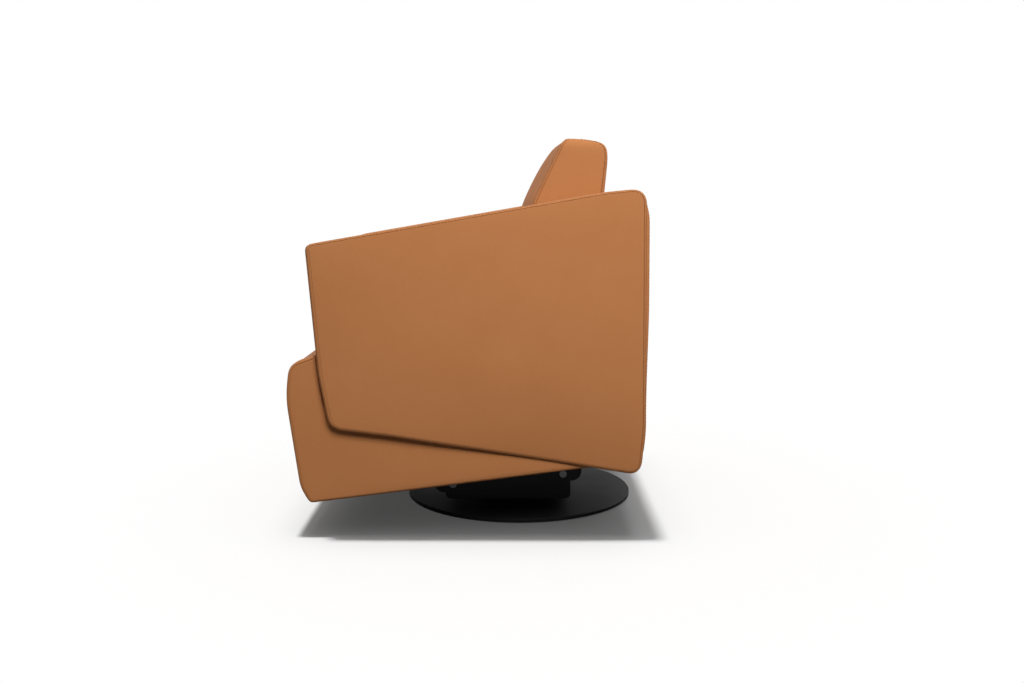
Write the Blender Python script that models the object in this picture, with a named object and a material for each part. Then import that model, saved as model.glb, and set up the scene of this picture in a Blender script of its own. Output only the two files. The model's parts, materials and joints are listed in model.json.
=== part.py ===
"""A leather swivel glider armchair on a round steel base, as separate pieces at their real size.

Metres, +Z up. The origin is on the floor under the swivel axis, the sitter faces -Y and has +X on the left.
"""

import math

import bmesh
import bpy
from mathutils import Matrix, Vector

# Fits
FIT = 0.0003                # gap between pieces that touch
RUNNING_GAP = 0.001         # gap of pieces that turn or slide past each other
SHEET = 0.004               # pressed steel of the mechanism
BOARD = 0.025               # hardwood rails
SEGMENTS = 16               # sides of a small round piece

# Reach of the chair from the swivel axis
FRONT_REACH = 0.485         # to the seat's nose
REAR_REACH = 0.262          # to the foot of the arms' rear edge
HEM_SETBACK = 0.034         # of the seat's lower front edge behind the nose
ARM_TOP_SETBACK = 0.052     # of the arms' top front corner behind the nose
ARM_FOOT_SETBACK = 0.078    # of the arms' lower front corner behind the nose
FRAME_SETBACK = 0.070       # of the front rail behind the nose
REAR_LEAN = 0.009           # by which the arms' rear edge leans forward at its top

# Base
DISC_DIAMETER = 0.540
DISC_THICKNESS = 0.009
DISC_EDGE = 0.0015
PAD_DIAMETER = 0.520
PAD_THICKNESS = 0.002

# Swivel bearing
RACE_DIAMETER = 0.180
HUB_DIAMETER = 0.060
HUB_LIP = 0.006
BALL_CIRCLE = 0.120
BALL_DIAMETER = 0.010
BALL_COUNT = 8
CAGE_WIDTH = 0.016
CAGE_THICKNESS = 0.003
PLATE_BOLT_CIRCLE = 0.148
BOLT_DIAMETER = 0.006
BOLT_HEAD = 0.004

# Glide linkage: four equal links hang from the brackets and carry the seat rails
FRONT_PIVOT_Y = -0.150
LOWER_PIVOT_Z = 0.070
PIVOT_SPACING = 0.250
PIVOT_RISE = 0.024
LINK_LENGTH = 0.120
LINK_WIDTH = 0.028
LINK_SHEET = 0.006
GLIDE_ANGLE = math.radians(22)
BRACKET_HALF_SPAN = 0.170
BRACKET_EAR = 0.018
BRACKET_FOOT = 0.035
WINDOW_WIDTH = 0.060
WINDOW_HEIGHT = 0.050
PIN_DIAMETER = 0.010
PIN_HEAD = 0.005
PIN_HEAD_DIAMETER = 0.018
CLIP_THICKNESS = 0.002
CLIP_DIAMETER = 0.017
BUSH_WALL = 0.002
BUSH_FLANGE = 0.0034
BUSH_FLANGE_DIAMETER = 0.022
BUFFER_DIAMETER = 0.016
BUFFER_NECK = 0.010
BUFFER_RISE = 0.040         # height of the buffer above the lower pivots' mean height
RAIL_END = 0.042
RAIL_DROP = 0.018
RAIL_FLANGE = 0.036
RAIL_TOP_Z = 0.144

# Seat frame
STRETCHER_WIDTH = 0.040
STRETCHER_HEIGHT = 0.080
FRAME_BOTTOM_Z = 0.150
REAR_RAIL_BOTTOM_Z = 0.190
FRAME_TOP_Z = 0.268
LEDGE_Z = 0.289             # top of the side rails, which carry the arms
SIDE_RAIL_HEIGHT = 0.100
FRONT_RAIL_Y = FRAME_SETBACK - FRONT_REACH
REAR_RAIL_THICKNESS = 0.045
STRAP_WIDTH = 0.056
STRAP_THICKNESS = 0.003

# Seat upholstery
SEAT_WIDTH = 0.550          # between the arms
SEAT_NOSE_Y = -FRONT_REACH
SEAT_TOP_Z = 0.388          # at the side seams
SEAT_NOSE_RADIUS = 0.070
SEAT_BELLY_Z = 0.253
SEAT_BELLY_RADIUS = 0.450
SEAT_HEM_Y = HEM_SETBACK - FRONT_REACH
SEAT_HEM_Z = 0.074
SEAT_HEM_RADIUS = 0.020
SEAT_HEM_SLOPE = 0.130
SEAT_FALL = 0.020
SEAT_CROWN = 0.020
SEAT_FRONT_CROWN = 0.008
SIDE_PANEL = 0.025
SIDE_PANEL_ROLL = 0.012

# Arms: a sloping four-sided slab whose outer skirt hangs over the seat side
ARM_THICKNESS = 0.115
ARM_PROUD = 0.025
ARM_FRONT_TOP = (ARM_TOP_SETBACK - FRONT_REACH, 0.623, 0.021)
ARM_REAR_TOP = (REAR_REACH - REAR_LEAN, 0.739, 0.020)
ARM_REAR_BOTTOM = (REAR_REACH, 0.141, 0.053)
ARM_FRONT_BOTTOM = (ARM_FOOT_SETBACK - FRONT_REACH, 0.242, 0.047)
ARM_SEAM_ROLL = 0.008
ARM_LOWER_ROLL = 0.020
ARM_CROWN = 0.006
ARM_BULGE = 0.003
ARM_BOARD = 0.018
ARM_FOAM = 0.045
ARM_HOLE = 0.076

# Back
BACK_FRONT_Y = 0.020
BACK_SHOULDER_Z = 0.675
BACK_TOP_Z = 0.840
BACK_TOP_FRONT_Y = 0.099
BACK_TOP_REAR_Y = 0.188
BACK_REAR_Y = 0.182
BACK_TOP_REAR_RADIUS = 0.038
BACK_TOP_FRONT_RADIUS = 0.012
BACK_SHOULDER_RADIUS = 0.250
BACK_CROWN = 0.025
BACK_TOP_CROWN = 0.004
BACK_SIDE_ROLL = 0.010
BACK_CROWN_RISE = 0.060     # height over which the crown of the back grows above the seat
POST_WIDTH = 0.030
BACK_RAIL_HEIGHT = 0.040
BACK_RAIL_DEPTH = 0.030
BACK_CAP = 0.018
OUTSIDE_BACK = 0.006
OUTSIDE_CROWN = 0.006
OUTSIDE_HEM_Z = 0.156
OUTSIDE_MARGIN = 0.003
OUTSIDE_CORNER = 0.080

# Heights and places that follow from the sizes above
PIN_RADIUS = PIN_DIAMETER / 2
BORE_RADIUS = PIN_RADIUS + FIT
BUSH_RADIUS = BORE_RADIUS + BUSH_WALL
DISC_BOTTOM_Z = PAD_THICKNESS + FIT
DISC_TOP_Z = DISC_BOTTOM_Z + DISC_THICKNESS
RACE_BOTTOM_Z = DISC_TOP_Z + FIT
RACE_TOP_Z = RACE_BOTTOM_Z + SHEET
BALL_CENTRE_Z = RACE_TOP_Z + FIT + BALL_DIAMETER / 2
UPPER_RACE_Z = BALL_CENTRE_Z + BALL_DIAMETER / 2 + FIT
PLATE_BOTTOM_Z = UPPER_RACE_Z + SHEET + FIT
PLATE_TOP_Z = PLATE_BOTTOM_Z + SHEET
FOOT_BOTTOM_Z = PLATE_TOP_Z + FIT
HUB_TOP_Z = PLATE_BOTTOM_Z + SHEET / 2
REAR_PIVOT_Y = FRONT_PIVOT_Y + PIVOT_SPACING
PIVOT_Y = {"front": FRONT_PIVOT_Y, "rear": REAR_PIVOT_Y}
LOWER_Z = {"front": LOWER_PIVOT_Z, "rear": LOWER_PIVOT_Z + PIVOT_RISE}
UPPER_Z = {end: z + LINK_LENGTH for end, z in LOWER_Z.items()}
BUFFER_Y = (FRONT_PIVOT_Y + REAR_PIVOT_Y) / 2
BUFFER_Z = LOWER_PIVOT_Z + PIVOT_RISE / 2 + BUFFER_RISE
BRACKET_OUT_X = BRACKET_HALF_SPAN + SHEET
LINK_IN_X = BRACKET_OUT_X + BUSH_FLANGE + 2 * FIT
LINK_OUT_X = LINK_IN_X + LINK_SHEET
RAIL_IN_X = LINK_OUT_X + BUSH_FLANGE + 2 * FIT
RAIL_OUT_X = RAIL_IN_X + SHEET
STRETCHER_IN_X = RAIL_OUT_X + FIT
STRETCHER_BOTTOM_Z = RAIL_TOP_Z + FIT
ARM_IN_X = SEAT_WIDTH / 2
ARM_OUT_X = ARM_IN_X + ARM_THICKNESS
PANEL_OUT_X = ARM_OUT_X - ARM_PROUD - FIT
PANEL_IN_X = PANEL_OUT_X - SIDE_PANEL
FRAME_HALF_X = PANEL_IN_X - FIT
SIDE_RAIL_IN_X = FRAME_HALF_X - BOARD
ARM_BOARD_X = (SIDE_RAIL_IN_X + FRAME_HALF_X - ARM_BOARD) / 2
REAR_Y = ARM_REAR_TOP[0] - FIT
REAR_RAIL_Y = REAR_Y - REAR_RAIL_THICKNESS
FRONT_RAIL_REAR_Y = FRONT_RAIL_Y + FIT + BOARD
POST_TOP_Z = ARM_REAR_TOP[1] - BACK_CAP - OUTSIDE_MARGIN
STRAP_Z = FRAME_TOP_Z + FIT
SEAT_REAR_Y = BACK_FRONT_Y - FIT
BACK_CLEAR_Z = SEAT_TOP_Z + SEAT_CROWN / 2
CUSHION_BOTTOM_Z = STRAP_Z + STRAP_THICKNESS + FIT
BACK_STRAP_Y = BACK_REAR_Y + FIT + (BACK_TOP_REAR_Y - BACK_REAR_Y)
POST_FRONT_Y = BACK_STRAP_Y + STRAP_THICKNESS + FIT
POST_IN_X = ARM_IN_X - FIT - POST_WIDTH
OUTSIDE_Y = REAR_Y + 2 * FIT
OUTSIDE_LEAN = REAR_LEAN / (ARM_REAR_TOP[1] - ARM_REAR_BOTTOM[1])
SIDES = {"left": 1, "right": -1}

# Finishes: base colour, roughness and metallic value
LEATHER = ((0.40, 0.165, 0.060), 0.48, 0.0)
BLACK_STEEL = ((0.012, 0.012, 0.013), 0.25, 0.0)
GREY_STEEL = ((0.050, 0.050, 0.052), 0.45, 0.6)
ZINC = ((0.55, 0.56, 0.58), 0.32, 1.0)
BEECH = ((0.52, 0.36, 0.21), 0.65, 0.0)
PLYWOOD = ((0.60, 0.44, 0.27), 0.70, 0.0)
NYLON = ((0.75, 0.74, 0.70), 0.50, 0.0)
RUBBER = ((0.020, 0.020, 0.020), 0.80, 0.0)
WEBBING = ((0.045, 0.043, 0.040), 0.90, 0.0)
FELT = ((0.030, 0.030, 0.032), 0.95, 0.0)


def clear_scene():
    for obj in list(bpy.data.objects):
        bpy.data.objects.remove(obj)


def axis_empty(name, y, z, parent=None):
    """An empty on a joint's axis, which carries what moves about it."""
    empty = bpy.data.objects.new(name, None)
    empty.location = (0, y, z)
    bpy.context.collection.objects.link(empty)
    carry(empty, parent)
    return empty


def carry(obj, parent):
    if parent is None:
        return
    bpy.context.view_layer.update()
    obj.parent = parent
    obj.matrix_parent_inverse = parent.matrix_world.inverted()


def paint(obj, look):
    colour, roughness, metallic = look
    material = bpy.data.materials.new(obj.name)
    material.use_nodes = True
    shader = material.node_tree.nodes["Principled BSDF"]
    shader.inputs["Base Color"].default_value = (*colour, 1)
    shader.inputs["Roughness"].default_value = roughness
    shader.inputs["Metallic"].default_value = metallic
    obj.data.materials.append(material)


def piece(name, bm, look, parent=None, location=(0, 0, 0), smooth_angle=35):
    """One named sub-part from a bmesh, with its own finish."""
    obj = helper(name, bm, location)
    obj.data.shade_smooth()
    obj.data.set_sharp_from_angle(angle=math.radians(smooth_angle))
    obj.hide_render = False
    obj.display_type = "TEXTURED"
    paint(obj, look)
    carry(obj, parent)
    return obj


def helper(name, bm, location=(0, 0, 0)):
    """A hidden shape that only cuts or joins."""
    bmesh.ops.remove_doubles(bm, verts=bm.verts, dist=1e-6)
    bmesh.ops.recalc_face_normals(bm, faces=bm.faces)
    mesh = bpy.data.meshes.new(name)
    bm.to_mesh(mesh)
    bm.free()
    obj = bpy.data.objects.new(name, mesh)
    obj.location = location
    obj.hide_render = True
    obj.display_type = "WIRE"
    bpy.context.collection.objects.link(obj)
    return obj


def combine(obj, other_bm, operation, location=(0, 0, 0)):
    """Adds a Boolean with a hidden shape to a piece."""
    modifier = obj.modifiers.new(operation.lower(), "BOOLEAN")
    modifier.operation = operation
    modifier.solver = "EXACT"
    modifier.object = helper(f"{obj.name}_{operation.lower()}_{len(obj.modifiers)}", other_bm, location)
    carry(modifier.object, obj.parent)


def spread(axis, u, v, w):
    """A point from two outline coordinates and a depth along the axis."""
    return {"X": (w, u, v), "Y": (u, w, v), "Z": (u, v, w)}[axis]


def rounded(corners, steps=5):
    """The points of a polygon whose corners (u, v, radius) are arcs."""
    points = []
    for index, (u, v, radius) in enumerate(corners):
        here = Vector((u, v))
        before = Vector(corners[index - 1][:2]) - here
        after = Vector(corners[(index + 1) % len(corners)][:2]) - here
        half = before.angle(after) / 2
        reach = min(radius / math.tan(half), 0.4999 * min(before.length, after.length))
        if reach < FIT:
            points.append(here)
            continue
        centre = here + (before.normalized() + after.normalized()).normalized() * (reach / math.cos(half))
        start = here + before.normalized() * reach - centre
        turn = math.copysign(math.pi - 2 * half, before.x * after.y - before.y * after.x)
        for step in range(steps + 1):
            points.append(centre + Matrix.Rotation(-turn * step / steps, 2) @ start)
    return points


def divided(points, longest):
    """The same closed outline with no straight stretch over the given length."""
    result = []
    for index, point in enumerate(points):
        after = points[(index + 1) % len(points)]
        count = max(1, math.ceil((after - point).length / longest))
        result += [point.lerp(after, step / count) for step in range(count)]
    return result


def outward(points):
    """The outward unit normal at each point of a closed outline."""
    area = sum(a.x * b.y - a.y * b.x for a, b in zip(points, points[1:] + points[:1]))
    normals = []
    for index in range(len(points)):
        along = (points[(index + 1) % len(points)] - points[index - 1]).normalized()
        normals.append(Vector((along.y, -along.x)) * math.copysign(1, area))
    return normals


def extruded(outline, low, high, axis="X", bm=None):
    """A prism of an outline, from low to high along the axis."""
    bm = bm or bmesh.new()
    face = bm.faces.new([bm.verts.new(spread(axis, *point, low)) for point in outline])
    grown = bmesh.ops.extrude_face_region(bm, geom=[face])
    moved = [item for item in grown["geom"] if isinstance(item, bmesh.types.BMVert)]
    bmesh.ops.translate(bm, verts=moved, vec=spread(axis, 0, 0, high - low))
    return bm


def block(x, y, z, bm=None):
    """A box from three (low, high) pairs."""
    return extruded([(x[0], y[0]), (x[1], y[0]), (x[1], y[1]), (x[0], y[1])], *z, axis="Z", bm=bm)


def rounded_block(u, v, radius, low, high, axis, bm=None):
    """A plate with rounded corners, from low to high along the axis."""
    corners = [(u[0], v[0], radius), (u[1], v[0], radius), (u[1], v[1], radius), (u[0], v[1], radius)]
    return extruded(rounded(corners), low, high, axis, bm)


def turned(profile, axis="Z", segments=SEGMENTS, centre=(0, 0, 0), closed=False, bm=None):
    """A revolved profile of (radius, height along the axis) points."""
    made = bmesh.new()
    verts = [made.verts.new((radius, 0, height)) for radius, height in profile]
    edges = [made.edges.new(pair) for pair in zip(verts, verts[1:])]
    if closed:
        edges.append(made.edges.new((verts[-1], verts[0])))
    bmesh.ops.spin(
        made, geom=verts + edges, cent=(0, 0, 0), axis=(0, 0, 1), angle=math.tau, steps=segments, use_merge=True
    )
    if axis == "X":
        bmesh.ops.rotate(made, verts=made.verts, cent=(0, 0, 0), matrix=Matrix.Rotation(math.pi / 2, 3, "Y"))
    bmesh.ops.translate(made, verts=made.verts, vec=centre)
    bmesh.ops.remove_doubles(made, verts=made.verts, dist=1e-6)
    if bm is None:
        return made
    mesh = bpy.data.meshes.new("turned")
    made.to_mesh(mesh)
    made.free()
    bm.from_mesh(mesh)
    bpy.data.meshes.remove(mesh)
    return bm


def rod(radius, low, high, axis="Z", centre=(0, 0, 0), bm=None):
    """A plain cylinder, here mostly a drill."""
    return turned([(0, high), (radius, high), (radius, low), (0, low)], axis, centre=centre, bm=bm)


def mirrored(bm, side):
    """The same shape on the chosen side of the chair."""
    if side < 0:
        bmesh.ops.scale(bm, vec=(-1, 1, 1), verts=bm.verts)
        bmesh.ops.reverse_faces(bm, faces=bm.faces)
    return bm


def loft(loops):
    """A closed skin through loops with equal counts, capped at both ends."""
    bm = bmesh.new()
    rings = []
    for loop in loops:
        verts = [bm.verts.new(point) for point in loop]
        rings.append([bm.edges.new((a, b)) for a, b in zip(verts, verts[1:] + verts[:1])])
    for first, second in zip(rings, rings[1:]):
        bmesh.ops.bridge_loops(bm, edges=first + second)
    for ring in (rings[0], rings[-1]):
        bmesh.ops.contextual_create(bm, geom=ring)
    return bm


def pillow(outline, low, high, axis, crowns, rolls, bulge):
    """A padded slab: crowned faces, rolled edges and a bulging border.

    crowns are the rise of the low and the high face, rolls the edge radius at each point of the outline.
    """
    normals = outward(outline)
    middle = sum(outline, Vector((0, 0))) / len(outline)
    seam = [point - normal * roll for point, normal, roll in zip(outline, normals, rolls)]
    faces = {}
    for end, (face_w, inward, crown) in {"low": (low, 1, crowns[0]), "high": (high, -1, crowns[1])}.items():
        loops = []
        for share in (0.25, 0.55, 0.80, 0.94):
            rise = crown * (1 - share ** 3)
            loops.append([spread(axis, *middle.lerp(point, share), face_w - inward * rise) for point in seam])
        for angle in (90, 55, 25, 0):
            lean = math.radians(angle)
            loop = []
            for point, normal, roll in zip(outline, normals, rolls):
                place = point - normal * roll * (1 - math.cos(lean))
                loop.append(spread(axis, *place, face_w + inward * roll * (1 - math.sin(lean))))
            loops.append(loop)
        faces[end] = loops
    border = []
    for share in (0.25, 0.5, 0.75):
        loop = []
        for point, normal, roll in zip(outline, normals, rolls):
            place = point + normal * bulge * 4 * share * (1 - share)
            loop.append(spread(axis, *place, low + roll + share * (high - low - 2 * roll)))
        border.append(loop)
    return loft(faces["low"] + border + faces["high"][::-1])


def crowned_run(profile, half_x, crown_of, side_roll=0.0, stations=6):
    """A profile in Y and Z run across the chair, swollen between its ends."""
    normals = outward(profile)
    shares = [math.sin(math.pi / 2 * step / stations) for step in range(-stations, stations + 1)]
    loops = []
    for share in shares:
        rise = 1 - abs(share) ** 2.5
        roll = side_roll * max(0.0, abs(share) - shares[-3]) / (1 - shares[-3])
        loop = []
        for point, normal in zip(profile, normals):
            place = point + normal * (crown_of(point, normal) * rise - roll * roll / max(side_roll, FIT))
            loop.append(spread("X", *place, share * half_x))
        loops.append(loop)
    return loft(loops)


def lattice(along, across, u_range, v_range, low, high, axis):
    """Crossed straps as one flat net: centres along u, then centres along v."""
    half = STRAP_WIDTH / 2
    u_low, u_high = u_range
    v_low, v_high = v_range
    first = None
    for centre in along:
        bars = [(centre - half, v_low), (centre + half, v_low), (centre + half, v_high), (centre - half, v_high)]
        first = extruded(bars, low, high, axis, first)
    second = None
    for centre in across:
        bars = [(u_low, centre - half), (u_high, centre - half), (u_high, centre + half), (u_low, centre + half)]
        second = extruded(bars, low, high, axis, second)
    return first, second


def build_base():
    radius = DISC_DIAMETER / 2
    rounds = 72
    pad_profile = [(0, PAD_THICKNESS), (PAD_DIAMETER / 2, PAD_THICKNESS), (PAD_DIAMETER / 2, 0), (0, 0)]
    piece("floor_pad", turned(pad_profile, segments=rounds), FELT)
    disc_profile = [
        (0, DISC_TOP_Z),
        (radius - DISC_EDGE, DISC_TOP_Z),
        (radius, DISC_TOP_Z - DISC_EDGE),
        (radius, DISC_BOTTOM_Z + DISC_EDGE),
        (radius - DISC_EDGE, DISC_BOTTOM_Z),
        (0, DISC_BOTTOM_Z),
    ]
    piece("base_disc", turned(disc_profile, segments=rounds), BLACK_STEEL)
    hub = HUB_DIAMETER / 2
    lip_z = PLATE_BOTTOM_Z
    race_profile = [
        (0, HUB_TOP_Z),
        (hub + HUB_LIP, HUB_TOP_Z),
        (hub + HUB_LIP, lip_z),
        (hub, lip_z),
        (hub, RACE_TOP_Z),
        (RACE_DIAMETER / 2, RACE_TOP_Z),
        (RACE_DIAMETER / 2, RACE_BOTTOM_Z),
        (0, RACE_BOTTOM_Z),
    ]
    piece("bearing_lower_race", turned(race_profile, segments=36), ZINC)


def build_ball_cage(parent):
    middle = BALL_CIRCLE / 2
    inner, outer = middle - CAGE_WIDTH / 2, middle + CAGE_WIDTH / 2
    low, high = BALL_CENTRE_Z - CAGE_THICKNESS / 2, BALL_CENTRE_Z + CAGE_THICKNESS / 2
    ring = [(inner, low), (inner, high), (outer, high), (outer, low)]
    cage = piece("bearing_ball_cage", turned(ring, segments=36, closed=True), ZINC, parent)
    balls = bmesh.new()
    for index in range(BALL_COUNT):
        angle = math.tau * (index + 0.5) / BALL_COUNT
        place = Matrix.Translation((middle * math.cos(angle), middle * math.sin(angle), BALL_CENTRE_Z))
        bmesh.ops.create_icosphere(balls, subdivisions=2, radius=BALL_DIAMETER / 2, matrix=place)
    combine(cage, balls, "UNION")


def plate_bolt_places():
    radius = PLATE_BOLT_CIRCLE / 2
    angles = [math.radians(45 + 90 * index) for index in range(4)]
    return [(radius * math.cos(angle), radius * math.sin(angle)) for angle in angles]


def bolt_holes():
    holes = bmesh.new()
    for x, y in plate_bolt_places():
        rod(BOLT_DIAMETER / 2 + FIT, RACE_TOP_Z, FOOT_BOTTOM_Z + SHEET, centre=(x, y, 0), bm=holes)
    return holes


def build_turntable(parent):
    inner = HUB_DIAMETER / 2 + RUNNING_GAP
    skirt = RACE_DIAMETER / 2 + RUNNING_GAP
    top = UPPER_RACE_Z + SHEET
    race_profile = [
        (inner, UPPER_RACE_Z),
        (inner, top),
        (skirt + SHEET, top),
        (skirt + SHEET, RACE_BOTTOM_Z + RUNNING_GAP),
        (skirt, RACE_BOTTOM_Z + RUNNING_GAP),
        (skirt, UPPER_RACE_Z),
    ]
    race = piece("bearing_upper_race", turned(race_profile, segments=36, closed=True), ZINC, parent)
    combine(race, bolt_holes(), "DIFFERENCE")
    span_y = (FRONT_PIVOT_Y - BRACKET_EAR, REAR_PIVOT_Y + BRACKET_EAR)
    span_x = (-BRACKET_OUT_X, BRACKET_OUT_X)
    plate_bm = rounded_block(span_x, span_y, BRACKET_EAR, PLATE_BOTTOM_Z, PLATE_TOP_Z, "Z")
    plate = piece("turntable_plate", plate_bm, GREY_STEEL, parent)
    holes = bolt_holes()
    rod(HUB_DIAMETER / 2 + HUB_LIP + RUNNING_GAP, RACE_TOP_Z, FOOT_BOTTOM_Z, bm=holes)
    combine(plate, holes, "DIFFERENCE")
    for number, (x, y) in enumerate(plate_bolt_places(), 1):
        shank = BOLT_DIAMETER / 2
        profile = [
            (0, FOOT_BOTTOM_Z + BOLT_HEAD),
            (2 * shank, FOOT_BOTTOM_Z + BOLT_HEAD),
            (2 * shank, FOOT_BOTTOM_Z),
            (shank, FOOT_BOTTOM_Z),
            (shank, UPPER_RACE_Z),
            (0, UPPER_RACE_Z),
        ]
        piece(f"plate_bolt_{number}", turned(profile, segments=12), ZINC, parent, location=(x, y, 0))


def pivot_drills(heights, radius):
    """Holes across the chair at the front and rear pivots."""
    drills = bmesh.new()
    for end, z in heights.items():
        rod(radius, 0, ARM_OUT_X, "X", centre=(0, PIVOT_Y[end], z), bm=drills)
    return drills


def build_bracket(name, side, parent):
    low_y, high_y = FRONT_PIVOT_Y - BRACKET_EAR, REAR_PIVOT_Y + BRACKET_EAR
    corners = [
        (low_y, FOOT_BOTTOM_Z + FIT, SHEET),
        (high_y, FOOT_BOTTOM_Z + FIT, SHEET),
        (high_y, UPPER_Z["rear"] + BRACKET_EAR, BRACKET_EAR),
        (low_y, UPPER_Z["front"] + BRACKET_EAR, BRACKET_EAR),
    ]
    wall = mirrored(extruded(rounded(corners), BRACKET_HALF_SPAN, BRACKET_OUT_X), side)
    bracket = piece(f"hanger_bracket_{name}", wall, GREY_STEEL, parent)
    foot_x = (BRACKET_HALF_SPAN - BRACKET_FOOT, BRACKET_HALF_SPAN + SHEET / 2)
    foot_y = (low_y + SHEET, high_y - SHEET)
    foot = rounded_block(foot_x, foot_y, SHEET, FOOT_BOTTOM_Z, FOOT_BOTTOM_Z + SHEET, "Z")
    combine(bracket, mirrored(foot, side), "UNION")
    holes = pivot_drills(UPPER_Z, BORE_RADIUS)
    rod(BUFFER_NECK / 2 + FIT, 0, ARM_OUT_X, "X", centre=(0, BUFFER_Y, BUFFER_Z), bm=holes)
    window_z = BUFFER_Z + BUFFER_DIAMETER
    for way in (-1, 1):
        centre = BUFFER_Y + way * WINDOW_WIDTH * 0.75
        window_y = (centre - WINDOW_WIDTH / 2, centre + WINDOW_WIDTH / 2)
        rounded_block(window_y, (window_z, window_z + WINDOW_HEIGHT), BRACKET_EAR / 2, 0, ARM_OUT_X, "X", holes)
    combine(bracket, mirrored(holes, side), "DIFFERENCE")


def build_buffer(name, side, parent):
    """A rubber stop pushed into the bracket, which runs in the rail's slot."""
    body, neck = BUFFER_DIAMETER / 2, BUFFER_NECK / 2
    tip_x = RAIL_OUT_X + RUNNING_GAP
    inner_x = BRACKET_HALF_SPAN - FIT
    profile = [
        (0, tip_x),
        (body - RUNNING_GAP, tip_x),
        (body, tip_x - RUNNING_GAP),
        (body, BRACKET_OUT_X + FIT),
        (neck, BRACKET_OUT_X + FIT),
        (neck, inner_x),
        (body, inner_x),
        (neck, inner_x - PIN_HEAD),
        (0, inner_x - PIN_HEAD),
    ]
    shape = mirrored(turned(profile, "X", segments=16), side)
    piece(f"stop_buffer_{name}", shape, RUBBER, parent, location=(0, BUFFER_Y, BUFFER_Z))


def build_link(end, name, side, parent):
    half = LINK_WIDTH / 2
    corners = [(-half, half, half), (half, half, half), (half, -LINK_LENGTH - half, half)]
    corners.append((-half, -LINK_LENGTH - half, half))
    place = (0, PIVOT_Y[end], UPPER_Z[end])
    shape = mirrored(extruded(rounded(corners, 8), LINK_IN_X, LINK_OUT_X), side)
    link = piece(f"swing_link_{end}_{name}", shape, GREY_STEEL, parent, place)
    bores = bmesh.new()
    for drop in (0, -LINK_LENGTH):
        rod(BUSH_RADIUS + FIT, 0, ARM_OUT_X, "X", centre=(0, 0, drop), bm=bores)
    combine(link, mirrored(bores, side), "DIFFERENCE", place)
    flange = BUSH_FLANGE_DIAMETER / 2
    upper = [
        (BORE_RADIUS, LINK_OUT_X),
        (BUSH_RADIUS, LINK_OUT_X),
        (BUSH_RADIUS, LINK_IN_X - FIT),
        (flange, LINK_IN_X - FIT),
        (flange, BRACKET_OUT_X + FIT),
        (BORE_RADIUS, BRACKET_OUT_X + FIT),
    ]
    lower = [
        (BORE_RADIUS, LINK_IN_X),
        (BUSH_RADIUS, LINK_IN_X),
        (BUSH_RADIUS, LINK_OUT_X + FIT),
        (flange, LINK_OUT_X + FIT),
        (flange, RAIL_IN_X - FIT),
        (BORE_RADIUS, RAIL_IN_X - FIT),
    ]
    for level, profile, z in (("upper", upper, UPPER_Z[end]), ("lower", lower, LOWER_Z[end])):
        bush = mirrored(turned(profile, "X", closed=True), side)
        piece(f"{level}_bush_{end}_{name}", bush, NYLON, parent, location=(0, PIVOT_Y[end], z))


def pin_profile(head_x, shank_x):
    """A headed pivot pin whose far end carries a retaining clip."""
    way = math.copysign(1, shank_x - head_x)
    clip = CLIP_DIAMETER / 2
    head = PIN_HEAD_DIAMETER / 2
    return [
        (0, head_x - way * PIN_HEAD),
        (head - RUNNING_GAP, head_x - way * PIN_HEAD),
        (head, head_x - way * (PIN_HEAD - RUNNING_GAP)),
        (head, head_x),
        (PIN_RADIUS, head_x),
        (PIN_RADIUS, shank_x),
        (clip, shank_x),
        (clip, shank_x + way * CLIP_THICKNESS),
        (0, shank_x + way * CLIP_THICKNESS),
    ]


def build_pins(level, end, name, side, parent):
    if level == "upper":
        profile = pin_profile(BRACKET_HALF_SPAN - FIT, LINK_OUT_X + 2 * FIT)
        place = (0, PIVOT_Y[end], UPPER_Z[end])
    else:
        profile = pin_profile(RAIL_OUT_X + FIT, LINK_IN_X - 2 * FIT)
        place = (0, PIVOT_Y[end], LOWER_Z[end])
    piece(f"{level}_pin_{end}_{name}", mirrored(turned(profile, "X"), side), ZINC, parent, location=place)


def slot_outline():
    """The path of the buffer in the rail: an arc of the link's length with round ends."""
    half = BUFFER_DIAMETER / 2 + RUNNING_GAP
    centre = Vector((BUFFER_Y, BUFFER_Z - LINK_LENGTH))
    steps = 8
    points = []
    for way, reach in ((1, LINK_LENGTH + half), (-1, LINK_LENGTH - half)):
        for step in range(steps + 1):
            angle = way * GLIDE_ANGLE * (2 * step / steps - 1)
            points.append(centre + Vector((math.sin(angle), math.cos(angle))) * reach)
        end_angle = way * GLIDE_ANGLE
        end = centre + Vector((math.sin(end_angle), math.cos(end_angle))) * LINK_LENGTH
        start = points[-1] - end
        for step in range(1, 6):
            points.append(end + Matrix.Rotation(-math.pi * step / 6, 2) @ start)
    return points


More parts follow.
